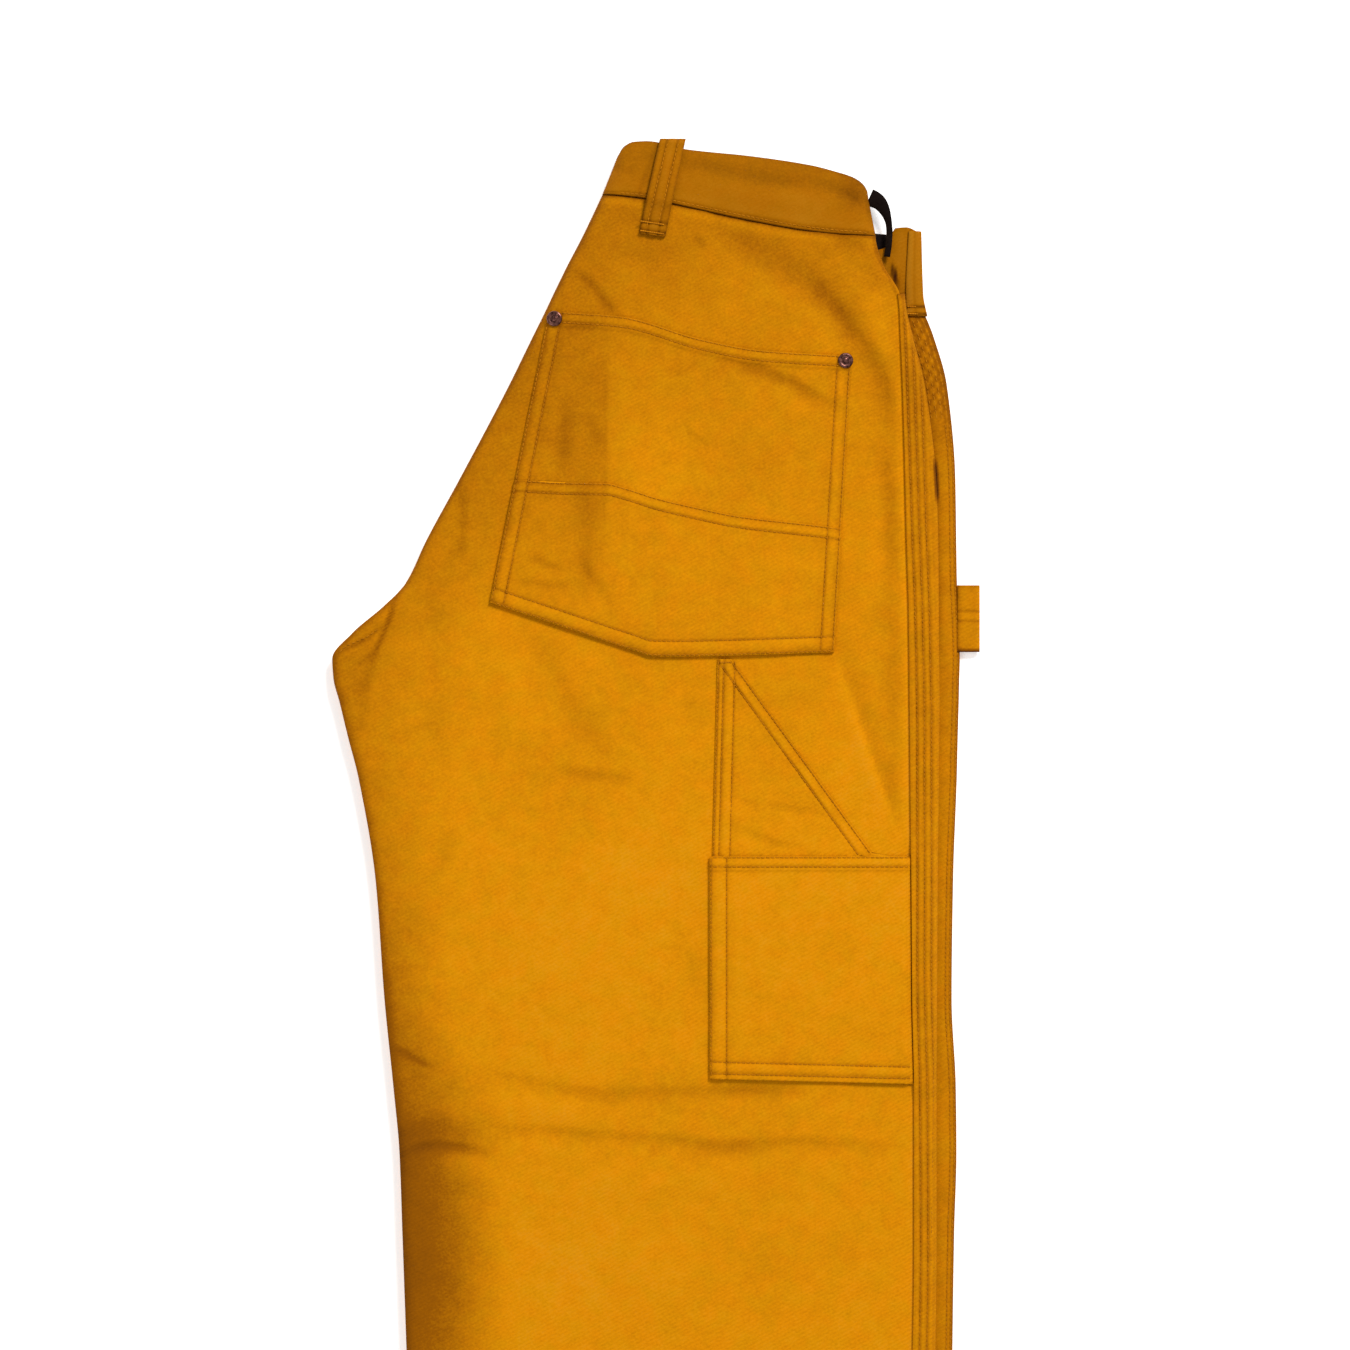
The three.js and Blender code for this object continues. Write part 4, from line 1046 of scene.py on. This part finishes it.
def back_band_relief(x, y, v):
    from_top, from_seam = (1 - v) * BAND_HEIGHT, v * BAND_HEIGHT
    height, shade = fold_relief(BAND_FOLDS, x, y)
    groove = bell((from_seam - BAND_ROW) / 0.9)
    height = height - 0.9 * np.exp(-from_top / 0.8) - 0.4 * groove - 0.5 * np.exp(-from_seam / 0.5)
    height = height + 0.3 * soft_noise(x, y, 16, 32)
    # Painted shade along the top edge and the seam, in the row's groove and towards the side, a painted
    # shadow beside the loop, and a painted highlight below the seam
    shade = shade + 0.25 * np.exp(-from_top / 1.2) + 0.06 * bell((from_top - 8) / 6)
    shade = shade + 0.25 * np.exp(-from_seam / 0.9) + 0.12 * groove - 0.05 * bell((from_seam - 6) / 3)
    side = 0.16 * smooth(104, 122, x) * smooth(0.2, 0.7, v)
    loop_x = lerp(BACK_LOOP["bottom"][0], BACK_LOOP["top"][0], v) - BACK_LOOP["width"] / 2
    loop_shadow = 0.1 * bell((x - loop_x + 1) / 1.6)
    return height, shade + side + loop_shadow + 0.05 * soft_noise(x, y, 22, 31)


def plain_relief(x, y, v):
    return np.zeros(np.shape(x)), np.full(np.shape(x), 0.05)


def side_relief(x, y, v):
    # Painted shade along the top edge and in the side slit, and a painted highlight over the rest
    shade = 0.2 * np.exp(-(1 - v) * BAND_HEIGHT / 1.5) - 0.06
    return 0.2 * soft_noise(x, y, 9, 41), shade + side_slit_shade(x, y)


def waistband():
    """The band's four stretches, from the one that shows down to the one that rests below."""
    fine = merged(spaced(0, 0.12, 0.02), spaced(0.12, 0.93, 0.045), spaced(0.93, 1, 0.012))
    centre = CENTRE_SEAM_LEVEL
    inner_ends = (-40, -40)
    return (
        band(
            "waistband_back_right_cloth",
            fine,
            ends=(BAND_LEFT, (BACK_BAND_SIDE_X, 126.6)),
            edges=(lambda x: seam_line(x) + SEAM_GAP, band_top),
            face=back_band_face,
            wall=BAND_WALL,
            up=1,
            levels=((centre + 0.2, 3.3), (9.2, 4.4)),
            roll=9,
            step=1.6,
            relief=back_band_relief,
        ),
        band(
            "waistband_back_left_cloth",
            np.linspace(0, 1, 12),
            ends=(BAND_LEFT, (SIDE_X, SIDE_X)),
            edges=(lambda x: under_seam_line(x) + SEAM_GAP, under_band_top),
            face=lambda x, v: 0 * (x + v),
            wall=INNER_BAND_WALL,
            up=-1,
            levels=((centre - 0.2, 2.9), (2.6, 2.6)),
            roll=8,
            step=4,
            relief=plain_relief,
        ),
        band(
            "waistband_front_left_cloth",
            np.linspace(0, 1, 30),
            ends=(inner_ends, (SIDE_X, SIDE_X)),
            edges=(lambda x: front_seam_line(x) + SEAM_GAP, front_band_top),
            face=lambda x, v: 5.2 + 0 * (x + v),
            wall=INNER_BAND_WALL,
            up=1,
            levels=((5.1, 5.1), (2.9, 2.9)),
            roll=8,
            step=1.8,
            relief=side_relief,
        ),
        band(
            "waistband_front_right_cloth",
            np.linspace(0, 1, 12),
            ends=(inner_ends, (141, 127)),
            edges=(lambda x: front_seam_line(x) + SEAM_GAP, lambda x: 1022 + 12 * (x + 50) / WAIST_REACH),
            face=lambda x, v: 8 - 2.5 * smooth(106, 118, x) + 0 * v,
            wall=INNER_BAND_WALL,
            up=-1,
            levels=((8.1, 8.1), (5.6, 5.6)),
            roll=6,
            step=4,
            relief=plain_relief,
        ),
    )


FACING_LINE = (
    (127.8, 1061.4), (131, 1060), (133.8, 1058), (136.4, 1054.4), (138.3, 1050), (139.5, 1045),
    (139.8, 1039.5), (139.2, 1031), (138.2, 1025.4),
)
FACING = {"wide": 5, "narrow": 1.8, "level": 7.6, "lean": 1.4}


def waist_facing():
    """The near-black facing has rolled out at the side of the waist and shows on edge."""
    line = line_path(FACING_LINE, 0.6)
    for _ in range(12):
        line[1:-1] = (line[:-2] + line[2:] + 2 * line[1:-1]) / 4
    tangent = np.gradient(line, axis=0)
    tangent /= np.linalg.norm(tangent, axis=1, keepdims=True)
    share = np.linspace(0, 1, len(line))[:, None]
    half = lerp(FACING["wide"], FACING["narrow"], smooth(0, 0.55, share))
    w = np.linspace(-1, 1, 11)[None, :]
    x = line[:, :1] - tangent[:, 1:] * half * w
    y = line[:, 1:] + tangent[:, :1] * half * w
    z = FACING["level"] - 1.8 * (1 - smooth(0, 0.2, share)) + FACING["lean"] * w + 0.5 * (1 - w * w)
    outer = np.stack([x, y, z + FACING_WALL], -1)
    return build_shell("waist_facing_cloth", outer, np.stack([x, y, z], -1), 0 * x, [facing])


# Patches


def patch(name, x, y, lift_by, relief, wall):
    """A patch on the right back: its points in plan, moved out from the cloth below it."""
    below, shade = top_face(x, y)
    height, dark = relief(x, y)
    outer = np.stack([x, y, below + lift_by + wall + height], -1)
    inner = np.stack([x, y, below + lift_by], -1)
    return build_shell(name, outer, inner, shade + dark, [twill], 3)


def edge_distance(a, b, x, y):
    """Distance to the right of the line from a to b."""
    (ax, ay), (bx, by) = a, b
    length = math.hypot(bx - ax, by - ay)
    return ((x - ax) * (by - ay) - (y - ay) * (bx - ax)) / length


def pocket_side(side, y):
    (x0, y0), (x1, y1) = BACK_POCKET["bottom_" + side], BACK_POCKET["top_" + side]
    return np.interp(y, [y0, y1], [x0, x1])


def pocket_grid(top, bottom, y_step, first, last):
    """Points of the back pocket between two lines, closer together along its four sides."""
    u = merged(spaced(0, 0.055, 0.0035), spaced(0.055, 0.945, 0.0085), spaced(0.945, 1, 0.0035))
    middle = spaced(first, 1 - last, y_step)
    v = merged(spaced(0, first, y_step / 2), middle, spaced(1 - last, 1, y_step / 2))
    x = lerp(-82, 111, u)[None, :] + 0 * v[:, None]  # a first guess, refined below
    for _ in range(3):
        y = lerp(top(x), bottom(x), v[:, None])
        x = lerp(pocket_side("left", y), pocket_side("right", y), u[None, :])
    return x, lerp(top(x), bottom(x), v[:, None])


def pocket_sides(x, y):
    """Double rows along the back pocket's sides and bottom."""
    left = edge_distance(BACK_POCKET["bottom_left"], BACK_POCKET["top_left"], x, y)
    right = edge_distance(BACK_POCKET["top_right"], BACK_POCKET["bottom_right"], x, y)
    height, shade = seam_relief(y - pocket_bottom(x), BOTTOM_ROWS, x)
    above = smooth(-1, 3, y - pocket_bottom(x))
    for distance in (left, right):
        side_height, side_shade = seam_relief(distance, SIDE_ROWS, y)
        height = height + side_height * above
        shade = shade + side_shade * (0.5 + 0.5 * above)
    return height, shade


def pocket_hem(below_top):
    """A pocket's mouth is turned in twice, so it stands up along the top."""
    return POCKET_HEM_RISE * (1 - smooth(7.5, 9.5, below_top))


def pocket_slack(x, y):
    return 0.5 * soft_noise(x, y, 30, 51) * smooth(8, 30, pocket_top(x) - y)


def pocket_relief(x, y):
    below_top = pocket_top(x) - y
    height, shade = pocket_sides(x, y)
    hem_height, hem_shade = seam_relief(below_top, HEM_ROWS, x)
    height = height + hem_height + pocket_hem(below_top)
    return height + pocket_slack(x, y), shade + 0.8 * hem_shade


def patch_relief(x, y):
    height, shade = pocket_sides(x, y)
    top_height, top_shade = seam_relief(patch_top(x) - y, PATCH_ROWS, x)
    return height + top_height + pocket_slack(x, y), shade + top_shade


def back_pocket():
    x, y = pocket_grid(pocket_top, pocket_bottom, 0.009, 0.06, 0.07)
    return patch("back_pocket_cloth", x, y, PATCH_GAP, pocket_relief, PATCH_WALL)


def reinforcement():
    x, y = pocket_grid(patch_top, pocket_bottom, 0.016, 0.1, 0.14)
    return patch("reinforcement_cloth", x, y, PATCH_GAP + PATCH_WALL + SEAM_GAP, patch_relief, THIN_WALL)


SLANT = (
    (RULE_POCKET["left"] + 8, RULE_POCKET["top"] + 0.4),
    (RULE_POCKET["slant_x"], RULE_POCKET["slant_y"]),
)


def rule_left(y):
    p = RULE_POCKET
    return np.interp(y, [p["slant_y"], p["top"]], [p["left"] - p["lean"], p["left"]])


def rule_relief(x, y):
    height, shade = seam_relief(x - rule_left(y), RULE_ROWS, y)
    mouth, mouth_shade = seam_relief(edge_distance(SLANT[0], SLANT[1], x, y), SLANT_ROWS, y)
    above = smooth(RULE_POCKET["slant_y"] - 6, RULE_POCKET["slant_y"], y)
    # Painted shadow of the tool pocket's top edge
    tool_shadow = 0.06 * bell((y - TOOL_POCKET["top"] - 0.8) / 1.8)
    return height + mouth * above, shade + mouth_shade * above + tool_shadow


def rule_pocket():
    p = RULE_POCKET
    v = merged(spaced(p["bottom"], 650, 8), spaced(650, p["top"], 1.1))[::-1]
    u = merged(spaced(0, 0.13, 0.008), spaced(0.13, 0.85, 0.018), spaced(0.85, 1, 0.008))
    slant = np.interp(v, [SLANT[1][1], SLANT[0][1]], [SLANT[1][0], SLANT[0][0]])
    right = np.where(v < p["slant_y"] - 2, lap_edge(v) - 9, slant)
    x = between(rule_left(v), right, u)
    y = np.broadcast_to(v[:, None], x.shape).copy()
    return patch("rule_pocket_cloth", x, y, PATCH_GAP, rule_relief, THIN_WALL)


def tool_floor(x):
    p = TOOL_POCKET
    return np.interp(x, [p["left"], p["right"]], [p["bottom_left"], p["bottom_right"]])


def tool_shape(x, y):
    """Height of the tool pocket's hem, slack, and the tuck below the outseam's lap."""
    tuck = -1.3 * smooth(lap_edge(y) - 5, lap_edge(y), x)
    return tuck + pocket_hem(TOOL_POCKET["top"] - y) + 0.4 * soft_noise(x, y, 26, 52)


def tool_relief(x, y):
    height, shade = tool_shape(x, y), 0
    for distance, rows, along, rim in (
        (TOOL_POCKET["top"] - y, TOOL_HEM_ROWS, x, 1),
        (x - TOOL_POCKET["left"], TOOL_SIDE_ROWS, y, 1.3),
        (y - tool_floor(x), TOOL_BOTTOM_ROWS, x, 0.6),
    ):
        seam_height, seam_shade = seam_relief(distance, rows, along, rim)
        height, shade = height + seam_height, shade + seam_shade
    return height, shade


def tool_pocket():
    p = TOOL_POCKET
    u = merged(spaced(0, 0.12, 0.006), spaced(0.12, 0.94, 0.013), spaced(0.94, 1, 0.01))
    v = merged(spaced(0, 0.08, 0.006), spaced(0.08, 0.86, 0.013), spaced(0.86, 1, 0.006))
    bottom = lerp(p["bottom_left"], p["bottom_right"], u)
    y = p["top"] + (bottom[None, :] - p["top"]) * v[:, None]
    x = lerp(p["left"], lap_edge(y) - 0.4, u[None, :])
    return patch("tool_pocket_cloth", x, y, TOOL_GAP, tool_relief, TOOL_WALL)


# Loops

BACK_LOOP = {"top": (9.5, 1096.4), "bottom": (-2.9, 1037.6), "width": 15.6, "skew": -0.15}
LOOP_ROW = 0.42  # where its stitches lie, as a share of half its width
LOOP_TACKS = (0.035, 0.13)  # where its lower end is pressed by tacks, as shares of its length


def loop_relief(w):
    """Cross-section of a folded loop: rounded sides and a groove at each row of stitches, with painted shade
    on the sides and in the grooves and a painted highlight down the middle.
    """
    grooves = bell((np.abs(w) - LOOP_ROW) / 0.1)
    shade = 0.17 * grooves + 0.16 * smooth(0.75, 1, np.abs(w)) - 0.08 * bell(w / 0.2)
    return 0.3 * bell(w / 0.3) - 0.4 * grooves - 0.9 * smooth(0.8, 1, np.abs(w)) ** 2, shade


def back_loop_base(x, y):
    """Inner level of the back loop: on the leg and the band, and off them in its middle."""
    s = (y - BACK_LOOP["bottom"][1]) / (BACK_LOOP["top"][1] - BACK_LOOP["bottom"][1])
    on_band = np.clip((y - seam_line(x)) / (band_top(x) - seam_line(x)), 0, 1)
    below = top_face(x, y)[0] + 0.6
    beside = back_band_face(x, on_band) + 0.9
    off = 1.6 * np.sin(np.pi * np.clip(s, 0.02, 0.98)) ** 0.6
    return np.maximum(lerp(below, beside, smooth(-6, 2, y - seam_line(x))), below - 6 * on_band) + off


def back_loop():
    s = np.linspace(0, 1, 80)[:, None]
    w = np.linspace(-1, 1, 33)[None, :]
    (x0, y0), (x1, y1) = BACK_LOOP["bottom"], BACK_LOOP["top"]
    half = BACK_LOOP["width"] / 2
    x = lerp(x0, x1, s) + w * half
    y = lerp(y0, y1, s) + w * half * BACK_LOOP["skew"] * (1 - s)
    height, shade = loop_relief(w + 0 * s)
    base = back_loop_base(x, y) - 2.2 * smooth(0.95, 1, s)
    tacks = sum(bell((s - tack) / 0.02) for tack in LOOP_TACKS)
    outer = np.stack([x, y, base + WALL + height - 0.3 * tacks], -1)
    # Painted shade in the tacks' grooves, with a painted highlight between them
    shade = shade + 0.22 * tacks - 0.1 * bell((s - 0.083) / 0.02)
    return build_shell("belt_loop_back_cloth", outer, np.stack([x, y, base], -1), shade, [shaded_band_twill])


def back_loop_face(x, y):
    return back_loop_base(x, y) + WALL - 0.25


SIDE_LOOP_ENDS = (990, 1041)
SIDE_LOOP = table(
    "y left right",
    (SIDE_LOOP_ENDS[0], 149.6, 161.4), (1003, 149.6, 158.9), (SIDE_LOOP_ENDS[1], 151.4, 157.7),
)
SIDE_LOOP_LOW = 3.2
SIDE_LOOP_HIGH = 5.8
SIDE_TACKS = (991.2, 995.6)
side_loop_left = curve(SIDE_LOOP, "y", "left")
side_loop_right = curve(SIDE_LOOP, "y", "right")


def side_loop():
    """The left side's belt loop wraps the rounded edge of the band and the leg."""
    low, high = SIDE_LOOP_ENDS
    y = spaced(low, high, 0.9)[:, None]
    angle = np.linspace(0, np.pi / 2, 26)[None, :]
    left, right = side_loop_left(y), side_loop_right(y)
    puff = 0.7 * np.sin(np.pi * (y - low) / (high - low))
    grids = []
    for wall in (WALL, 0):
        face = SIDE_LOOP_HIGH + puff * smooth(0, 0.6, angle) + wall - 0.5 * bell(angle / 0.35)
        x = right + wall - (right - left + wall) * (1 - np.sin(angle))
        z = SIDE_LOOP_LOW + (face - SIDE_LOOP_LOW) * np.cos(angle) ** 0.6
        grids.append(np.stack([x, y + 0 * x, z], -1))
    outer, inner = grids
    height, shade = loop_relief(angle / (np.pi / 4) - 1 + 0 * y)
    outer[..., 2] += height * 0.6
    bars = sum(bell((y - tack) / 1.1) for tack in SIDE_TACKS)
    # Painted shade at the bar tacks, and a painted highlight over the loop and on its left wall
    shade = shade * 0.5 - 0.08 + 0.5 * bars - 0.4 * bell(angle / 0.35)
    return build_shell("belt_loop_side_cloth", outer, inner, shade, [shaded_band_twill])


def side_loop_face(x, y):
    share = (side_loop_right(y) - x) / (side_loop_right(y) - side_loop_left(y))
    return SIDE_LOOP_HIGH + WALL - 0.2 - 2.6 * (1 - np.clip(share, 0, 1)) ** 2.2


HAMMER = {"low": 787.8, "high": 828, "root": 180.9, "middle": 2.4, "rows": (812.4, 806.4)}


def hammer_loop():
    """A folded band that comes out of the left outseam and doubles back under it."""
    y = spaced(HAMMER["low"], HAMMER["high"], 0.8)[:, None]
    arc = np.linspace(np.pi / 2, -np.pi / 2, 16)
    middle = HAMMER["middle"]
    end = LOOP_REACH - middle
    out, back = np.linspace(HAMMER["root"], end, 8)[:-1], np.linspace(end, HAMMER["root"], 6)[1:]
    grids = []
    for inset in (0, WALL):
        radius = middle - inset
        x = np.concatenate([out, end + radius * np.cos(arc), back])[None, :]
        top, under = middle + radius + 0 * out, middle - radius + 0 * back
        z = np.concatenate([top, middle + radius * np.sin(arc), under])
        grids.append(np.stack([x + 0 * y, y + 0 * x, z[None, :] + 0 * y], -1))
    outer, inner = grids
    rows = sum(bell((y - row) / 0.8) for row in HAMMER["rows"])
    from_low, from_high = y - HAMMER["low"], HAMMER["high"] - y
    # Painted shade over the loop and in its rows, a painted shadow along its low edge, top edge and root,
    # and a painted highlight between the rows
    edges = 0.8 * bell(from_low / 1.6) + 0.15 * np.exp(-from_high / 1.2)
    root = 0.14 * bell((outer[..., 0] - HAMMER["root"] - 0.6) / 1.2)
    between_rows = sum(HAMMER["rows"]) / 2
    shade = 0.15 + 0.15 * rows + edges + root - 0.05 * bell((y - between_rows) / 1.6)
    outer[:, : len(out), 2] -= 0.3 * rows
    return build_shell("hammer_loop_cloth", outer, inner, shade, [twill])


# Metal


def lathe(name, profile, sides, centre, slope, material):
    """A round fastener from its profile of radius and height, tipped to the cloth's slope."""
    angles = np.arange(sides) * 2 * np.pi / sides
    rings = []
    for radius, height in profile:
        x, y = radius * np.cos(angles), radius * np.sin(angles)
        rings.append(np.stack([x, y, height + slope * x], -1) + centre)
    vertices = np.concatenate([np.concatenate(rings), [np.array(centre) + (0, 0, profile[-1][1])]])
    faces = [list(range(sides))[::-1], *ring_walls(sides, len(profile)).tolist()]
    last = (len(profile) - 1) * sides
    faces += [[last + k, last + (k + 1) % sides, len(vertices) - 1] for k in range(sides)]
    return new_object(name, to_frame(vertices), faces, [material])


RIVET_PROFILE = (
    (4.1, -0.3), (4.6, 0.1), (4.6, 0.6), (4.3, 1.0), (3.6, 1.2), (3.0, 1.0),
    (2.3, 0.8), (1.9, 1.0), (1.7, 1.6), (1.3, 1.9), (0.6, 2.0),
)
RIVETS = table("name x y", ("rivet_left", -61.5, 987.5), ("rivet_right", 113, 962.4))


def rivets():
    for rivet in RIVETS:
        x, y = rivet["x"], rivet["y"]
        before, at, after = top_face(np.array([x - 2, x, x + 2]), np.full(3, y))[0]
        centre = (x, y, at + PATCH_GAP + PATCH_WALL + 0.7)
        made = lathe(rivet["name"] + "_metal", RIVET_PROFILE, 36, centre, (after - before) / 4, copper)
        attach(made, "root")
        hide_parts(rivet["name"])


# Thread


def line_over(line, start, end, inset):
    """A path along a line's curve from one x to another, moved down by inset."""
    x = spaced(start, end, 1)
    return np.stack([x, line(x) - inset], -1)


def pocket_face(x, y):
    on_patch = (y < patch_top(x)) * (THIN_WALL + SEAM_GAP)
    return top_face(x, y)[0] + PATCH_GAP + PATCH_WALL - 0.3 + on_patch + pocket_slack(x, y)


def pocket_hem_face(x, y):
    return top_face(x, y)[0] + PATCH_GAP + PATCH_WALL + 0.3


def back_pocket_rows():
    p = BACK_POCKET
    rows = []
    for inset in SIDE_ROWS:
        left = offset_line(p["bottom_left"], p["top_left"], inset, 1.5, 9)
        right = offset_line(p["top_right"], p["bottom_right"], inset, 9, 1.5)
        rows += [(line_path(left), pocket_face), (line_path(right), pocket_face)]
    for rise in BOTTOM_ROWS:
        rows.append((line_over(pocket_bottom, -97 + rise * 0.3, 105 - rise * 0.3, -rise), pocket_face))
    rows += [(line_over(pocket_top, -57, 110, drop), pocket_hem_face) for drop in HEM_ROWS]
    rows += [(line_over(patch_top, -78, 108.6, drop), pocket_face) for drop in PATCH_ROWS]
    return rows


def rule_face(x, y):
    return top_face(x, y)[0] + PATCH_GAP + THIN_WALL - 0.3


def tool_face(x, y):
    return top_face(x, y)[0] + TOOL_GAP + TOOL_WALL - 0.3 + tool_shape(x, y)


def tool_pocket_rows():
    rule, tool = RULE_POCKET, TOOL_POCKET
    rows = []
    for inset in RULE_ROWS:
        low_end = (rule_left(tool["top"]) + inset, tool["top"] + 0.5)
        rows.append((line_path([(rule["left"] + inset, rule["top"] - 1), low_end]), rule_face))
    for inset, start, end in zip(SLANT_ROWS, (3, 0), (1, 4)):
        rows.append((line_path(offset_line(*SLANT, inset, start, end)), rule_face, 0.1))
    for drop in TOOL_HEM_ROWS:
        ends = [(tool["left"] + 2, tool["top"] - drop), (lap_edge(tool["top"]) - 1.5, tool["top"] - drop)]
        rows.append((line_path(ends), tool_face))
    for inset in TOOL_SIDE_ROWS:
        x = tool["left"] + inset
        rows.append((line_path([(x, tool["top"] - 1), (x, tool["bottom_left"] + 2)]), tool_face))
    for rise in TOOL_BOTTOM_ROWS:
        rows.append((line_over(tool_floor, tool["left"] + 2, 152.5, -rise), tool_face))
    return rows


def lap_thread_face(x, y):
    return lap_face(x, y) - 0.3


def under_face(x, y):
    low = UNDER_SEAM_LEVEL + SEAM_GAP / 2
    return low + (FRONT_LEFT_LEVEL - low) * quarter((under_edge(y) - x) / UNDER_ROLL) - 0.25


def strip_rows():
    """Felled outseams: three rows on the right leg, two on the left one, and the braided ones."""
    rows = []
    y = spaced(4, HIP_TOP_Y - 2, 1)
    for inset in STRIP_ROWS:
        x = lap_edge(y) + inset + strip_wander(y)
        seen = fold_edge(y) - x > 2
        rows.append((np.stack([x, y], -1)[seen], lap_thread_face))
    for inset in UNDER_ROWS:
        y = spaced(4, 925, 1)
        rows.append((np.stack([under_edge(y) - inset, y], -1), under_face))
    for inset in BRAID_ROWS:
        y = spaced(928, 988, 1)
        x = under_edge(y) - inset
        rows.append((np.stack([x, y], -1)[x > fold_edge(y)], under_face))
    return rows


def band_thread_face(x, y):
    return back_band_face(x, np.full(np.shape(x), BAND_ROW / BAND_HEIGHT)) - 0.3


def fork_face(x, y):
    return top_face(x, y)[0]


# Stitches across the fork, on the right back
FORK_LINE = [(-167.4, 801.6), (-174, 796.8), (-181.2, 793.8), (-186.6, 791.4), (-191, 787.4)]


def waist_rows():
    x = spaced(-22, 126, 1)
    y = lerp(seam_line(x), band_top(x), BAND_ROW / BAND_HEIGHT)
    rows = [(np.stack([x, y], -1), band_thread_face), (line_path(FORK_LINE), fork_face)]
    (x0, y0), (x1, y1) = BACK_LOOP["bottom"], BACK_LOOP["top"]
    for side in (-1, 1):
        shift = side * LOOP_ROW * BACK_LOOP["width"] / 2
        rows.append((line_path([(x0 + shift, y0 + 5), (x1 + shift, y1 - 3)]), back_loop_face))
    return rows


def tack_rows():
    """Close thick stitches across the ends of the belt loops and at the rule pocket's corner."""
    x0, y0 = BACK_LOOP["bottom"]
    half = BACK_LOOP["width"] / 2 - 0.6
    rows = []
    for rise in (1.6, 7.2):
        tilt_half = half * BACK_LOOP["skew"]
        ends = [(x0 - half, y0 + rise - tilt_half), (x0 + half, y0 + rise + tilt_half)]
        rows.append((line_path(ends, 0.5), back_loop_face, 0))
    rows += [(line_path([(150.2, tack), (160.2, tack)], 0.5), side_loop_face) for tack in SIDE_TACKS]
    corner = (RULE_POCKET["left"] + 1.5, RULE_POCKET["top"] - 2)
    rows.append((line_path([corner, (corner[0] + 7, corner[1])], 0.5), rule_face, 0))
    return rows


# The garment

pocket_thread = sew("thread_back_pocket", back_pocket_rows())
tool_thread = sew("thread_tool_pockets", tool_pocket_rows())
strip_thread = sew("thread_outseams", strip_rows())
waist_thread = sew("thread_waist", waist_rows())
tack_thread = sew("thread_bar_tacks", tack_rows(), TACK)

cloth(back_left(), "back_left")
cloth(front_left(), "front_left")
cloth(front_right(), "front_right")
cloth(back_right(), "back_right")
cloth(back_pocket(), "back_pocket_right")
cloth(reinforcement(), "pocket_reinforcement_right")
cloth(rule_pocket(), "rule_pocket")
cloth(tool_pocket(), "tool_pocket")
top_band, under_band, side_band, inner_band = waistband()
cloth(top_band, "waistband_back_right")
cloth(under_band, "waistband_back_left")
cloth(side_band, "waistband_front_left")
cloth(inner_band, "waistband_front_right")
cloth(waist_facing(), "waist_facing")
cloth(back_loop(), "belt_loop_back_right")
cloth(side_loop(), "belt_loop_side_left")
cloth(hammer_loop(), "hammer_loop")
rivets()

for node, material in (("fly_flap", twill), ("waist_button", button_metal)):
    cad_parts[node].data.materials.clear()
    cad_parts[node].data.materials.append(material)

# Floor, light and camera

VIEW_PIXELS = 1350
PIXEL = 0.6  # the photograph's scale, millimetres a pixel
AIM = np.array([10.8, 774, 13.0])  # what the middle of the picture shows
DISTANCE = 2.4  # metres from there up to the camera
centre = to_frame(AIM)


def floor():
    size = 4
    corners = np.array([(-size, -size, 0), (size, -size, 0), (size, size, 0), (-size, size, 0)], float)
    material, _, shader = nodes_of("floor_white")
    made = new_object("floor", corners, [(0, 1, 2, 3)], [material])
    set_inputs(shader, {"Base Color": (0.9, 0.9, 0.9, 1), "Roughness": 0.9, "Specular IOR Level": 0.1})
    set_inputs(shader, {"Emission Color": (1, 1, 1, 1), "Emission Strength": 0.35})
    made.location.z = -0.0005


def area_light(name, place, size, power, colour=(1, 1, 1)):
    data = bpy.data.lights.new(name, "AREA")
    data.shape = "DISK"
    data.size = size
    data.energy = power
    data.color = colour
    light = bpy.data.objects.new(name, data)
    light.location = place
    away = np.array(place) - centre
    tip = math.atan2(math.hypot(away[0], away[1]), away[2])
    light.rotation_euler = (tip, 0, math.atan2(away[0], -away[1]))
    bpy.context.scene.collection.objects.link(light)


def camera():
    data = bpy.data.cameras.new("camera")
    data.sensor_width = 36
    data.lens = data.sensor_width * DISTANCE / (VIEW_PIXELS * PIXEL * MM)
    data.clip_end = 20
    made = bpy.data.objects.new("camera", data)
    made.location = (centre[0], centre[1], centre[2] + DISTANCE)
    bpy.context.scene.collection.objects.link(made)
    bpy.context.scene.camera = made


def studio():
    world = bpy.data.worlds.new("studio")
    world.use_nodes = True
    set_inputs(world.node_tree.nodes["Background"], {"Color": (1, 1, 1, 1), "Strength": 0.57})
    bpy.context.scene.world = world
    bpy.context.scene.view_settings.view_transform = "Standard"


floor()
area_light("key", (1.7, 2.9, 2.9), size=1.4, power=188, colour=(1, 0.985, 0.96))
area_light("fill", (-1.8, -1.4, 2.6), size=2.0, power=22)
camera()
studio()
